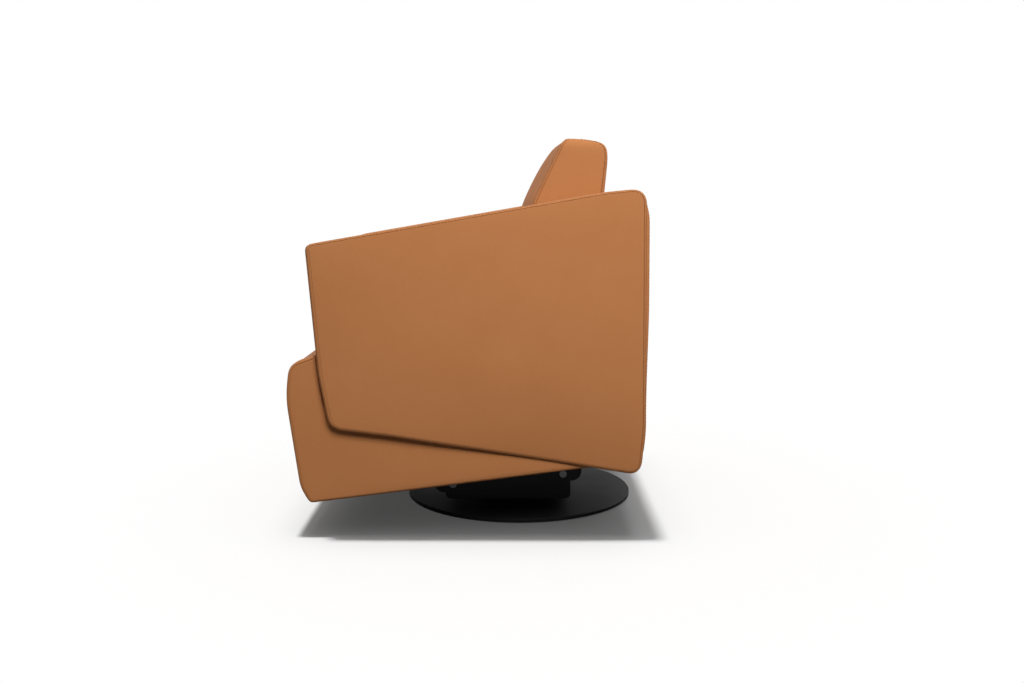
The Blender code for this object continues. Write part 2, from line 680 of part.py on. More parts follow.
def build_rail(name, side, parent):
    slope = PIVOT_RISE / PIVOT_SPACING
    low_y, high_y = FRONT_PIVOT_Y - RAIL_END, REAR_PIVOT_Y + RAIL_END
    end_radius = RAIL_END / 2
    corners = [
        (low_y, LOWER_Z["front"] - RAIL_DROP - slope * RAIL_END, end_radius),
        (high_y, LOWER_Z["rear"] - RAIL_DROP + slope * RAIL_END, end_radius),
        (high_y, RAIL_TOP_Z - FIT, SHEET),
        (low_y, RAIL_TOP_Z - FIT, SHEET),
    ]
    wall = mirrored(extruded(rounded(corners), RAIL_IN_X, RAIL_OUT_X), side)
    rail = piece(f"glide_rail_{name}", wall, GREY_STEEL, parent)
    flange_x = (RAIL_IN_X + SHEET / 2, RAIL_IN_X + RAIL_FLANGE)
    flange_y = (low_y + SHEET, high_y - SHEET)
    flange = rounded_block(flange_x, flange_y, SHEET, RAIL_TOP_Z - SHEET, RAIL_TOP_Z, "Z")
    combine(rail, mirrored(flange, side), "UNION")
    holes = pivot_drills(LOWER_Z, BORE_RADIUS)
    extruded(slot_outline(), 0, ARM_OUT_X, "X", holes)
    combine(rail, mirrored(holes, side), "DIFFERENCE")


def build_seat_frame(parent):
    across = (-FRAME_HALF_X, FRAME_HALF_X)
    front_y = (FRONT_RAIL_Y + FIT, FRONT_RAIL_REAR_Y)
    rear_y = (REAR_RAIL_Y, REAR_Y)
    between_y = (FRONT_RAIL_REAR_Y + FIT, REAR_RAIL_Y - FIT)
    heights = (FRAME_BOTTOM_Z, FRAME_TOP_Z)
    piece("seat_front_rail", block(across, front_y, heights), BEECH, parent)
    piece("seat_rear_rail", block(across, rear_y, (REAR_RAIL_BOTTOM_Z, FRAME_TOP_Z)), BEECH, parent)
    for name, side in SIDES.items():
        rail_x = (SIDE_RAIL_IN_X, FRAME_HALF_X)
        rail = block(rail_x, between_y, (LEDGE_Z - SIDE_RAIL_HEIGHT, LEDGE_Z))
        piece(f"seat_side_rail_{name}", mirrored(rail, side), BEECH, parent)
        stretcher_x = (STRETCHER_IN_X, STRETCHER_IN_X + STRETCHER_WIDTH)
        stretcher_z = (STRETCHER_BOTTOM_Z, STRETCHER_BOTTOM_Z + STRETCHER_HEIGHT)
        stretcher = block(stretcher_x, between_y, stretcher_z)
        piece(f"seat_stretcher_{name}", mirrored(stretcher, side), BEECH, parent)
    reach_x = POST_IN_X - STRAP_WIDTH / 4
    along = [reach_x * share for share in (-0.76, -0.26, 0.26, 0.76)]
    span_y = (FRONT_RAIL_Y + BOARD / 2, REAR_RAIL_Y + BOARD / 2)
    across_y = [FRONT_RAIL_REAR_Y + (REAR_RAIL_Y - FRONT_RAIL_REAR_Y) * share for share in (0.2, 0.42, 0.64, 0.86)]
    first, second = lattice(along, across_y, (-reach_x, reach_x), span_y, STRAP_Z, STRAP_Z + STRAP_THICKNESS, "Z")
    webbing = piece("seat_webbing", first, WEBBING, parent)
    combine(webbing, second, "UNION")


def seat_profile():
    rear_top = SEAT_TOP_Z - SEAT_FALL
    corners = [
        (SEAT_HEM_Y, SEAT_HEM_Z, SEAT_HEM_RADIUS),
        (SEAT_NOSE_Y, SEAT_BELLY_Z, SEAT_BELLY_RADIUS),
        (SEAT_NOSE_Y, SEAT_TOP_Z, SEAT_NOSE_RADIUS),
        (SEAT_REAR_Y, rear_top, SEAT_NOSE_RADIUS / 4),
        (SEAT_REAR_Y, SEAT_HEM_Z, 0),
    ]
    return divided(rounded(corners, 7), SEAT_NOSE_RADIUS)


def seat_crown(point, normal):
    """How far the leather stands out: most on the top, less on the front, none below and at the rear edge."""
    tuck = min(1.0, max(0.0, (SEAT_REAR_Y - point.x) / SEAT_NOSE_RADIUS))
    return SEAT_CROWN * tuck * max(0.0, normal.y) + SEAT_FRONT_CROWN * max(0.0, -normal.x)


def arm_front_y(z):
    """The arm's front edge at a height."""
    share = (z - ARM_FRONT_BOTTOM[1]) / (ARM_FRONT_TOP[1] - ARM_FRONT_BOTTOM[1])
    return ARM_FRONT_BOTTOM[0] + share * (ARM_FRONT_TOP[0] - ARM_FRONT_BOTTOM[0])


def arm_well(low_z, side):
    """The room that an arm takes, from its front edge backwards and from low_z up."""
    gap = ARM_BULGE + FIT
    high_z = ARM_FRONT_TOP[1]
    corners = [(arm_front_y(low_z) - gap, low_z), (REAR_Y + BOARD, low_z)]
    corners += [(REAR_Y + BOARD, high_z), (arm_front_y(high_z) - gap, high_z)]
    return mirrored(extruded(corners, ARM_IN_X - FIT, ARM_OUT_X + BOARD), side)


def build_seat_upholstery(parent):
    far = 2 * ARM_OUT_X
    profile = seat_profile()
    cushion = piece("seat_cushion", crowned_run(profile, FRAME_HALF_X, seat_crown), LEATHER, parent)
    combine(cushion, block((-far, far), (-far, far), (-far, CUSHION_BOTTOM_Z)), "DIFFERENCE")
    for side in SIDES.values():
        combine(cushion, arm_well(FRAME_BOTTOM_Z, side), "DIFFERENCE")
    front = piece("seat_front_panel", crowned_run(profile, FRAME_HALF_X, seat_crown), LEATHER, parent)
    combine(front, block((-far, far), (-far, far), (CUSHION_BOTTOM_Z - FIT, far)), "DIFFERENCE")
    combine(front, block((-far, far), (FRONT_RAIL_Y, far), (-far, far)), "DIFFERENCE")
    panel_rear = REAR_RAIL_Y - FIT
    rear_hem = SEAT_HEM_Z + SEAT_HEM_SLOPE * (panel_rear - SEAT_HEM_Y)
    corners = [
        (SEAT_HEM_Y, SEAT_HEM_Z, SEAT_HEM_RADIUS),
        (SEAT_NOSE_Y, SEAT_BELLY_Z, SEAT_BELLY_RADIUS),
        (SEAT_NOSE_Y, SEAT_TOP_Z, SEAT_NOSE_RADIUS),
        (panel_rear, SEAT_TOP_Z, 0),
        (panel_rear, rear_hem, SEAT_HEM_RADIUS),
    ]
    for name, side in SIDES.items():
        outline = rounded(corners, 7)
        shape = extruded(outline, PANEL_IN_X, PANEL_OUT_X)
        edges = [e for e in shape.edges if all(abs(v.co.x - PANEL_OUT_X) < FIT for v in e.verts)]
        bmesh.ops.bevel(
            shape, geom=edges, offset=SIDE_PANEL_ROLL, affect="EDGES", segments=3, profile=0.5, material=-1
        )
        panel = piece(f"seat_side_panel_{name}", mirrored(shape, side), LEATHER, parent)
        combine(panel, arm_well(LEDGE_Z, side), "DIFFERENCE")


def build_arm(name, side, parent):
    corners = [ARM_FRONT_BOTTOM, ARM_REAR_BOTTOM, ARM_REAR_TOP, ARM_FRONT_TOP]
    outline = divided(rounded(corners, 5), ARM_THICKNESS)
    rolls = []
    for normal in outward(outline):
        low = max(0.0, -normal.y)
        rolls.append(ARM_SEAM_ROLL + (ARM_LOWER_ROLL - ARM_SEAM_ROLL) * low)
    shape = pillow(outline, ARM_IN_X + ARM_CROWN, ARM_OUT_X - ARM_CROWN, "X", (ARM_CROWN, ARM_CROWN), rolls, ARM_BULGE)
    arm = piece(f"arm_pad_{name}", mirrored(shape, side), LEATHER, parent)
    rabbet = block((0, PANEL_OUT_X + FIT), (-ARM_OUT_X * 2, ARM_OUT_X * 2), (0, LEDGE_Z + FIT))
    combine(arm, mirrored(rabbet, side), "DIFFERENCE")
    board = [
        (arm_front_y(LEDGE_Z) + ARM_FOAM, LEDGE_Z + FIT, 0),
        (ARM_REAR_TOP[0] - ARM_FOAM, LEDGE_Z + FIT, 0),
        (ARM_REAR_TOP[0] - ARM_FOAM, ARM_REAR_TOP[1] - ARM_FOAM, ARM_FOAM / 2),
        (ARM_FRONT_TOP[0] + ARM_FOAM, ARM_FRONT_TOP[1] - ARM_FOAM, ARM_FOAM / 2),
    ]
    front, rear = board[0][0], board[1][0]
    pocket = [(front - FIT, 0, 0), (rear + FIT, 0, 0)]
    pocket += [(y + math.copysign(FIT, y), z + FIT, radius) for y, z, radius in board[2:]]
    pocket_bm = extruded(rounded(pocket), ARM_BOARD_X - FIT, ARM_BOARD_X + ARM_BOARD + FIT)
    combine(arm, mirrored(pocket_bm, side), "DIFFERENCE")
    frame_bm = extruded(rounded(board), ARM_BOARD_X, ARM_BOARD_X + ARM_BOARD)
    frame = piece(f"arm_frame_{name}", mirrored(frame_bm, side), PLYWOOD, parent)
    holes = bmesh.new()
    for share in (0.2, 0.5, 0.8):
        centre = (0, front + share * (rear - front), LEDGE_Z + ARM_FOAM + ARM_HOLE / 2)
        rod(ARM_HOLE / 2, 0, ARM_OUT_X, "X", centre=centre, bm=holes)
    combine(frame, mirrored(holes, side), "DIFFERENCE")


def back_crown(point, normal):
    """The crown of the inner back grows from the seat upwards; the rear stays flat."""
    start = max(0.0, min(1.0, (point.y - BACK_CLEAR_Z) / BACK_CROWN_RISE))
    return start * (BACK_CROWN * max(0.0, -normal.x) ** 2 + BACK_TOP_CROWN * max(0.0, normal.y))


def build_back(parent):
    corners = [
        (BACK_FRONT_Y, CUSHION_BOTTOM_Z, BOARD / 2),
        (BACK_REAR_Y, CUSHION_BOTTOM_Z, 0),
        (BACK_TOP_REAR_Y, BACK_TOP_Z - BACK_TOP_CROWN, BACK_TOP_REAR_RADIUS),
        (BACK_TOP_FRONT_Y, BACK_TOP_Z - BACK_TOP_CROWN, BACK_TOP_FRONT_RADIUS),
        (BACK_FRONT_Y, BACK_SHOULDER_Z, BACK_SHOULDER_RADIUS),
    ]
    profile = divided(rounded(corners, 6), BACK_CROWN_RISE)
    cushion_bm = crowned_run(profile, ARM_IN_X - 2 * FIT, back_crown, BACK_SIDE_ROLL)
    piece("back_cushion", cushion_bm, LEATHER, parent)
    for name, side in SIDES.items():
        post_x = (POST_IN_X, POST_IN_X + POST_WIDTH)
        post = block(post_x, (POST_FRONT_Y, REAR_Y), (FRAME_TOP_Z + FIT, POST_TOP_Z))
        piece(f"back_post_{name}", mirrored(post, side), BEECH, parent)
    rail_x = (FIT - POST_IN_X, POST_IN_X - FIT)
    rail_y = (REAR_Y - BACK_RAIL_DEPTH, REAR_Y)
    levels = {"back_top_rail": POST_TOP_Z - BACK_RAIL_HEIGHT, "back_lower_rail": FRAME_TOP_Z + BACK_RAIL_HEIGHT}
    for name, z in levels.items():
        piece(name, block(rail_x, rail_y, (z, z + BACK_RAIL_HEIGHT)), BEECH, parent)
    reach_x = POST_IN_X + POST_WIDTH
    span_z = (FRAME_TOP_Z + STRAP_WIDTH, POST_TOP_Z - BACK_RAIL_HEIGHT / 2)
    along = [reach_x * share for share in (-0.4, 0.4)]
    across = [span_z[0] + (span_z[1] - span_z[0]) * share for share in (0.12, 0.38, 0.64, 0.9)]
    strap_y = (BACK_STRAP_Y, BACK_STRAP_Y + STRAP_THICKNESS)
    first, second = lattice(along, across, (-reach_x, reach_x), span_z, *strap_y, "Y")
    webbing = piece("back_webbing", first, WEBBING, parent)
    combine(webbing, second, "UNION")


def leaned(bm, top):
    """Leans what lies behind the upright frame, as the arms' rear edges lean below their top."""
    for vert in bm.verts:
        if vert.co.y > OUTSIDE_Y + FIT:
            vert.co.y += OUTSIDE_LEAN * (top - vert.co.z)
    return bm


def build_outside_back(parent):
    """The rear panel, crowned, with the top cap that closes the space behind the cushion."""
    half = ARM_OUT_X - OUTSIDE_MARGIN - ARM_CROWN
    top = ARM_REAR_TOP[1] - OUTSIDE_MARGIN
    corners = [
        (-half, OUTSIDE_HEM_Z, OUTSIDE_CORNER),
        (half, OUTSIDE_HEM_Z, OUTSIDE_CORNER),
        (half, top, ARM_REAR_TOP[2]),
        (-half, top, ARM_REAR_TOP[2]),
    ]
    outline = divided(rounded(corners, 5), 2 * ARM_THICKNESS)
    rolls = [OUTSIDE_BACK / 3] * len(outline)
    gap = ARM_BULGE + FIT
    shape = pillow(outline, OUTSIDE_Y + gap, OUTSIDE_Y + gap + OUTSIDE_BACK, "Y", (RUNNING_GAP, OUTSIDE_CROWN), rolls, 0)
    panel = piece("outside_back", leaned(shape, top), LEATHER, parent)
    cap_x = ARM_IN_X - FIT
    inset_y = OUTSIDE_Y + gap + OUTSIDE_BACK / 2
    filler = block((-cap_x, cap_x), (OUTSIDE_Y, inset_y), (REAR_RAIL_BOTTOM_Z, POST_TOP_Z))
    combine(panel, leaned(filler, top), "UNION")
    cap_y = (BACK_TOP_REAR_Y + FIT, inset_y)
    combine(panel, block((-cap_x, cap_x), cap_y, (POST_TOP_Z + FIT, top - OUTSIDE_MARGIN)), "UNION")


def main():
    clear_scene()
    swivel_axis = axis_empty("swivel_axis", 0, 0)
    cage_axis = axis_empty("cage_axis", 0, 0)
    link_axes = {
        end: axis_empty(f"{end}_link_axis", PIVOT_Y[end], UPPER_Z[end], swivel_axis) for end in PIVOT_Y
    }
    seat_axis = axis_empty("seat_axis", PIVOT_Y["front"], LOWER_Z["front"], link_axes["front"])
    build_base()
    build_ball_cage(cage_axis)
    build_turntable(swivel_axis)
    for name, side in SIDES.items():
        build_bracket(name, side, swivel_axis)
        build_buffer(name, side, swivel_axis)
        build_rail(name, side, seat_axis)
        for end in PIVOT_Y:
            build_link(end, name, side, link_axes[end])
            build_pins("upper", end, name, side, swivel_axis)
            build_pins("lower", end, name, side, seat_axis)
    build_seat_frame(seat_axis)
    build_seat_upholstery(seat_axis)
    for name, side in SIDES.items():
        build_arm(name, side, seat_axis)
    build_back(seat_axis)
    build_outside_back(seat_axis)


main()
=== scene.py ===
import json
import math

import bmesh
import bpy
from mathutils import Matrix, Vector
from mathutils.bvhtree import BVHTree

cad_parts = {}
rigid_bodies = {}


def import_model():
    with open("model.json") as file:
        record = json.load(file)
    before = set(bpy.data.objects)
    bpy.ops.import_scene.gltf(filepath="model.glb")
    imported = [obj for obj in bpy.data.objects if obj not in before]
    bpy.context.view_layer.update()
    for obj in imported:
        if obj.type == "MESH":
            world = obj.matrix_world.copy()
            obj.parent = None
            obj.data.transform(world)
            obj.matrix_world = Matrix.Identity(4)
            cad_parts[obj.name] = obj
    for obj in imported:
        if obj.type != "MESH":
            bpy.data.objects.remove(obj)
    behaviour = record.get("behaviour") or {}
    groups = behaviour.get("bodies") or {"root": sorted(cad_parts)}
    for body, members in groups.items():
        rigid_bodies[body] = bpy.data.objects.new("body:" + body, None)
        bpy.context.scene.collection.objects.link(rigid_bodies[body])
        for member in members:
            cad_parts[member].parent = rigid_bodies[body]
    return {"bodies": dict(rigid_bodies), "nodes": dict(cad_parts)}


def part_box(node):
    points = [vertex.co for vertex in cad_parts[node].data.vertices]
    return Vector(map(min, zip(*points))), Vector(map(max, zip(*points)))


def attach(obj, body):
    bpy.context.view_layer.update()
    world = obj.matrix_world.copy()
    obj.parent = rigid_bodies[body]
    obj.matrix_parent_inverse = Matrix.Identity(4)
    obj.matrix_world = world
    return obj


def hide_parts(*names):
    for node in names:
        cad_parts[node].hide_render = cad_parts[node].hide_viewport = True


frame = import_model()
solids = frame["nodes"]
for stray in set(bpy.data.objects) - set(solids.values()) - set(frame["bodies"].values()):
    bpy.data.objects.remove(stray)
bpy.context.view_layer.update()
scene = bpy.context.scene
scene.view_settings.view_transform = "Standard"
print("frame loaded with", len(solids), "solids")


# Shader helpers

def put(tree, kind, sockets=None, **props):
    made = tree.nodes.new(kind if kind.startswith("NodeGroup") else "ShaderNode" + kind)
    for key, value in props.items():
        setattr(made, key, value)
    for key, value in (sockets or {}).items():
        if isinstance(value, bpy.types.NodeSocket):
            tree.links.new(value, made.inputs[key])
        else:
            made.inputs[key].default_value = value
    return made


def mixColours(tree, share, first, second):
    return put(tree, "Mix", {0: share, 6: first, 7: second}, data_type="RGBA").outputs[2]


def newGroup(name, settings, results):
    # a group that takes a place and some settings, and gives numbers that vary over the surface
    tree = bpy.data.node_groups.new(name, "ShaderNodeTree")
    tree.interface.new_socket(name="Vector", in_out="INPUT", socket_type="NodeSocketVector")
    for label, value in settings.items():
        socket = tree.interface.new_socket(name=label, in_out="INPUT", socket_type="NodeSocketFloat")
        socket.default_value = value
    for label in results:
        tree.interface.new_socket(name=label, in_out="OUTPUT", socket_type="NodeSocketFloat")
    return tree, put(tree, "NodeGroupInput"), put(tree, "NodeGroupOutput")


def newMaterial(name, **values):
    material = bpy.data.materials.new(name)
    material.use_nodes = True
    tree = material.node_tree
    shader = tree.nodes["Principled BSDF"]
    for key, value in values.items():
        shader.inputs[key.replace("_", " ")].default_value = value
    return material, tree, shader


def objectPlace(tree, turn=(0, 0, 0)):
    coords = put(tree, "TexCoord").outputs["Object"]
    return put(tree, "Mapping", {"Vector": coords, "Rotation": turn}).outputs["Vector"]


def noise(tree, place, scale, detail, result="Fac"):
    return put(tree, "TexNoise", {"Vector": place, "Scale": scale, "Detail": detail}).outputs[result]


def wave(tree, place, scale, direction, distortion=0.0):
    sockets = {"Vector": place, "Scale": scale, "Distortion": distortion}
    return put(tree, "TexWave", sockets, bands_direction=direction).outputs["Fac"]


def maths(tree, operation, *values):
    return put(tree, "Math", dict(enumerate(values)), operation=operation).outputs[0]


def remap(tree, value, low=0.0, high=1.0, start=0.0, end=1.0):
    # what runs from low to high then runs from start to end
    return put(tree, "MapRange", dict(enumerate((value, low, high, start, end)))).outputs[0]


def dress(tree, shader, colour, height, strength, distance):
    # the colour and the relief of a surface
    bump = put(tree, "Bump", {"Height": height, "Strength": strength, "Distance": distance})
    tree.links.new(colour, shader.inputs["Base Color"])
    tree.links.new(bump.outputs["Normal"], shader.inputs["Normal"])


# Shared effects

grainLook = {
    "wander": (160.0, 0.0016),  # how finely and how far the pebbles' outlines stray
    "pebble": (0.15, 0.65),  # cell distances at a pebble's top and in the valley beside it
    "pores": 1500.0, "patches": 46.0,  # scales of the fine pores and of the patches of tone
    "shares": (0.7, 0.3, 0.10),  # what clouds, patches and pebbles add to the tone
}


def makeHideGrain():
    # pebbled hide: a tone that drifts over the skin, a height for the pebbles and a gloss
    settings = {"Pebble": 620.0, "Drift": 7.0}
    tree, given, result = newGroup("hideGrain", settings, ("Tone", "Height", "Gloss"))
    place = given.outputs["Vector"]
    often, far = grainLook["wander"]
    wander = noise(tree, place, often, 2.0, "Color")
    shifted = put(tree, "VectorMath", {0: wander, 1: (far, far, far)}, operation="MULTIPLY").outputs[0]
    bent = put(tree, "VectorMath", {0: place, 1: shifted}, operation="ADD").outputs[0]
    cells = put(tree, "TexVoronoi", {"Vector": bent, "Scale": given.outputs["Pebble"]}, feature="SMOOTH_F1")
    pebble = remap(tree, cells.outputs["Distance"], *grainLook["pebble"], 1.0, 0.0)
    pores = noise(tree, place, grainLook["pores"], 2.0)
    height = maths(tree, "ADD", pebble, pores)
    cloud = noise(tree, place, given.outputs["Drift"], 4.0)
    patch = noise(tree, place, grainLook["patches"], 3.0)
    cloudShare, patchShare, pebbleShare = grainLook["shares"]
    clouded = maths(tree, "MULTIPLY", cloud, cloudShare)
    patched = maths(tree, "MULTIPLY_ADD", patch, patchShare, clouded)
    tone = maths(tree, "MULTIPLY_ADD", pebble, pebbleShare, patched)
    tree.links.new(tone, result.inputs["Tone"])
    tree.links.new(height, result.inputs["Height"])
    tree.links.new(patch, result.inputs["Gloss"])
    return tree


def makeSpeckle():
    # the fine orange peel of a sprayed or moulded surface, and slow cloudy wear
    tree, given, result = newGroup("speckle", {"Size": 900.0, "Wear": 14.0}, ("Height", "Cloud"))
    place = given.outputs["Vector"]
    peel = noise(tree, place, given.outputs["Size"], 2.0)
    cloud = noise(tree, place, given.outputs["Wear"], 5.0)
    tree.links.new(peel, result.inputs["Height"])
    tree.links.new(cloud, result.inputs["Cloud"])
    return tree


def makeTimberGrain():
    # long growth lines with short dark flecks; the grain runs along the local Y axis
    tree, given, result = newGroup("timberGrain", {}, ("Lines", "Flecks"))
    place = given.outputs["Vector"]
    stretched = put(tree, "Mapping", {"Vector": place, "Scale": (1.0, 0.06, 1.0)}).outputs["Vector"]
    rings = put(tree, "TexNoise", {"Vector": stretched, "Scale": 140.0, "Detail": 4.0, "Distortion": 0.6})
    short = put(tree, "Mapping", {"Vector": place, "Scale": (1.0, 0.16, 1.0)}).outputs["Vector"]
    flecks = put(tree, "TexVoronoi", {"Vector": short, "Scale": 520.0})
    thin = remap(tree, flecks.outputs["Distance"], 0.05, 0.28, 1.0, 0.0)
    tree.links.new(rings.outputs["Fac"], result.inputs["Lines"])
    tree.links.new(thin, result.inputs["Flecks"])
    return tree


hideGrain = makeHideGrain()
speckle = makeSpeckle()
timberGrain = makeTimberGrain()


def useGroup(tree, group, place):
    return put(tree, "Group", {"Vector": place}, node_tree=group)


# Finishes

leatherLook = {
    "deep": (0.365, 0.139, 0.045, 1),
    "tan": (0.430, 0.176, 0.066, 1),
    # the colour of the painted shade in seam grooves and under folded edges
    "paintedShade": (0.090, 0.028, 0.009, 1),
    "roughness": (0.80, 0.92),
    "specular": 0.14,
    "relief": (0.22, 0.0004),  # strength and depth of the pebbles
}
threadLook = {"dark": (0.085, 0.024, 0.010, 1), "light": (0.19, 0.060, 0.025, 1), "twist": 900.0}
beechLook = {
    "pale": (0.56, 0.39, 0.23, 1),
    "dark": (0.42, 0.27, 0.15, 1),
    "fleck": (0.231, 0.1485, 0.0825, 1),
}
coatLook = {"paler": 1.35, "least": 0.002, "peelDepth": 0.0003}  # how the cloudy wear lightens a coat


def makeLeather():
    material, tree, shader = newMaterial("tanLeather", Specular_IOR_Level=leatherLook["specular"])
    grain = useGroup(tree, hideGrain, objectPlace(tree))
    skin = mixColours(tree, grain.outputs["Tone"], leatherLook["deep"], leatherLook["tan"])
    # painted shade: the seamShade attribute darkens the leather in the seam grooves and where the edges are
    # folded under
    sewn = put(tree, "Attribute", attribute_name="seamShade").outputs["Fac"]
    shaded = mixColours(tree, sewn, skin, leatherLook["paintedShade"])
    rough = remap(tree, grain.outputs["Gloss"], 0.3, 0.7, *leatherLook["roughness"])
    tree.links.new(rough, shader.inputs["Roughness"])
    dress(tree, shader, shaded, grain.outputs["Height"], *leatherLook["relief"])
    return material


def makeThread():
    material, tree, shader = newMaterial("brownThread", Roughness=0.6)
    twist = wave(tree, objectPlace(tree), threadLook["twist"], "DIAGONAL", 1.0)
    colour = mixColours(tree, twist, threadLook["dark"], threadLook["light"])
    dress(tree, shader, colour, twist, 0.4, 0.0003)
    return material


def makeCoated(name, colour, roughness, spread, peel, level=0.5, metallic=0.0):
    material, tree, shader = newMaterial(name, Metallic=metallic, Specular_IOR_Level=level)
    skin = useGroup(tree, speckle, objectPlace(tree))
    lighter = tuple(channel * coatLook["paler"] + coatLook["least"] for channel in colour)
    paint = mixColours(tree, skin.outputs["Cloud"], (*colour, 1), (*lighter, 1))
    rough = remap(tree, skin.outputs["Cloud"], start=roughness, end=roughness + spread)
    tree.links.new(rough, shader.inputs["Roughness"])
    dress(tree, shader, paint, skin.outputs["Height"], peel, coatLook["peelDepth"])
    return material


def makeTimber(name, turn):
    material, tree, shader = newMaterial(name, Roughness=0.6, Specular_IOR_Level=0.3)
    grain = useGroup(tree, timberGrain, objectPlace(tree, turn))
    lines = remap(tree, grain.outputs["Lines"], 0.35, 0.65)
    board = mixColours(tree, lines, beechLook["dark"], beechLook["pale"])
    flecked = mixColours(tree, grain.outputs["Flecks"], board, beechLook["fleck"])
    dress(tree, shader, flecked, grain.outputs["Lines"], 0.15, 0.0004)
    return material


def makePly():
    # birch plies: thin layers across the board, darker at every glue line
    material, tree, shader = newMaterial("birchPly", Roughness=0.65, Specular_IOR_Level=0.3)
    place = objectPlace(tree)
    plies = wave(tree, place, 110.0, "X", 0.3)
    grain = useGroup(tree, timberGrain, place)
    layers = mixColours(tree, plies, (0.42, 0.27, 0.14, 1), (0.64, 0.47, 0.29, 1))
    board = mixColours(tree, grain.outputs["Flecks"], layers, (0.30, 0.19, 0.09, 1))
    dress(tree, shader, board, plies, 0.2, 0.0003)
    return material


def makeWebbing():
    # elastic straps: fine ribs along and across
    material, tree, shader = newMaterial("elasticWebbing", Roughness=0.85, Specular_IOR_Level=0.2)
    place = objectPlace(tree)
    weave = maths(tree, "MULTIPLY", wave(tree, place, 190.0, "X"), wave(tree, place, 190.0, "Y"))
    strap = mixColours(tree, weave, (0.020, 0.019, 0.018, 1), (0.075, 0.070, 0.064, 1))
    dress(tree, shader, strap, weave, 0.5, 0.0006)
    return material


def makeDustCloth():
    # thin bonded cloth, with a faint embossed check
    material, tree, shader = newMaterial("dustCloth", Roughness=0.9, Specular_IOR_Level=0.1)
    place = objectPlace(tree)
    check = put(tree, "TexChecker", {"Vector": place, "Scale": 700.0}).outputs["Fac"]
    fibres = noise(tree, place, 900.0, 3.0)
    fuzz = maths(tree, "MULTIPLY_ADD", check, 0.25, fibres)
    tone = mixColours(tree, fuzz, (0.006, 0.006, 0.006, 1), (0.022, 0.022, 0.023, 1))
    dress(tree, shader, tone, fuzz, 0.4, 0.0004)
    return material


def makeFelt():
    material, tree, shader = newMaterial("blackFelt", Roughness=0.95, Specular_IOR_Level=0.1)
    fuzz = noise(tree, objectPlace(tree), 1800.0, 3.0)
    nap = mixColours(tree, fuzz, (0.012, 0.012, 0.013, 1), (0.055, 0.055, 0.058, 1))
    dress(tree, shader, nap, fuzz, 0.6, 0.0008)
    return material


leather = makeLeather()
thread = makeThread()
print("leather and thread made")


# Outlines

def roundedOutline(corners, steps=12):
    # corners of (u, v, radius) become a run of points; middles says where each corner's arc is half way
    points, middles = [], []
    for index, (u, v, radius) in enumerate(corners):
        here = Vector((u, v))
        before = Vector(corners[index - 1][:2]) - here
        after = Vector(corners[(index + 1) % len(corners)][:2]) - here
        half = before.angle(after) / 2
        reach = radius / math.tan(half)
        centre = here + (before.normalized() + after.normalized()).normalized() * (reach / math.cos(half))
        start = here + before.normalized() * reach - centre
        turn = math.copysign(math.pi - 2 * half, before.x * after.y - before.y * after.x)
        middles.append(len(points) + steps // 2)
        points += [centre + Matrix.Rotation(-turn * step / steps, 2) @ start for step in range(steps + 1)]
    return points, middles


def rectangle(half, low, high, lowRadius, highRadius):
    foot = [(-half, low, lowRadius), (half, low, lowRadius)]
    return foot + [(half, high, highRadius), (-half, high, highRadius)]


def evenly(line, count):
    # the same line in equal steps
    marks = [0.0]
    for a, b in zip(line, line[1:]):
        marks.append(marks[-1] + (b - a).length)
    result, k = [], 0
    for step in range(count + 1):
        want = marks[-1] * step / count
        while k < len(line) - 2 and marks[k + 1] < want:
            k += 1
        share = (want - marks[k]) / max(marks[k + 1] - marks[k], 1e-9)
        result.append(line[k].lerp(line[k + 1], min(1.0, share)))
    return result


def evenRim(corners, sides, cell):
    # the outline cut at four corners, with even points and equal counts on opposite sides
    points, middles = roundedOutline(corners)
    marks = [middles[k] for k in sides]
    runs = []
    for first, last in zip(marks, marks[1:] + marks[:1]):
        stop = last if last > first else last + len(points)
        runs.append([points[k % len(points)] for k in range(first, stop + 1)])
    lengths = [sum((b - a).length for a, b in zip(run, run[1:])) for run in runs]
    across = max(3, round(max(lengths[0], lengths[2]) / cell))
    up = max(3, round(max(lengths[1], lengths[3]) / cell))
    rim = []
    for run, count in zip(runs, (across, up, across, up)):
        rim += evenly(run, count)[:-1]
    return rim, across, up


def outwardNormals(rim):
    normals = []
    for k in range(len(rim)):
        along = (rim[(k + 1) % len(rim)] - rim[k - 1]).normalized()
        normals.append(Vector((along.y, -along.x)))
    return normals


def byDirection(low, high, back, front):
    # a value that turns with the outline: below, above, towards +u and towards -u
    def valueAt(normal):
        level = low if normal.y < 0 else high
        side = back if normal.x > 0 else front
        return level * normal.y ** 2 + side * normal.x ** 2
    return valueAt


def allRound(value):
    return byDirection(value, value, value, value)


def easeIn(value, start, end):
    share = min(1.0, max(0.0, (value - start) / (end - start)))
    return share * share * (3 - 2 * share)


# Upholstery: two panels sewn to a boxing strip

seamRings = {
    # angle round the edge (90 on the panel, 0 on the boxing), lift of the leather, painted shade at that
    # ring
    "panel": [(85, 0.0, 0.1), (80, -0.0016, 0.75), (75, 0.0004, 0.1), (62, 0.0010, 0.0), (48, 0.0008, 0.0),
              (42, -0.0006, 0.45), (36, 0.0, 0.1), (18, 0.0, 0.0), (0, 0.0, 0.0)],
    "edge": [(82, 0.0, 0.1), (74, -0.0014, 0.7), (66, 0.0006, 0.1), (54, 0.0011, 0.0), (42, 0.0010, 0.0),
             (34, 0.0004, 0.1), (26, -0.0012, 0.55), (18, 0.0, 0.1), (0, 0.0, 0.0)],
    "plain": [(70, 0.0, 0.0), (45, 0.0, 0.0), (20, 0.0, 0.0), (0, 0.0, 0.0)],
}
foldShadeReach = {"edge": (-55, -5), "boxing": (0.0, 0.2)}  # where the painted shade of a folded edge starts and where it ends
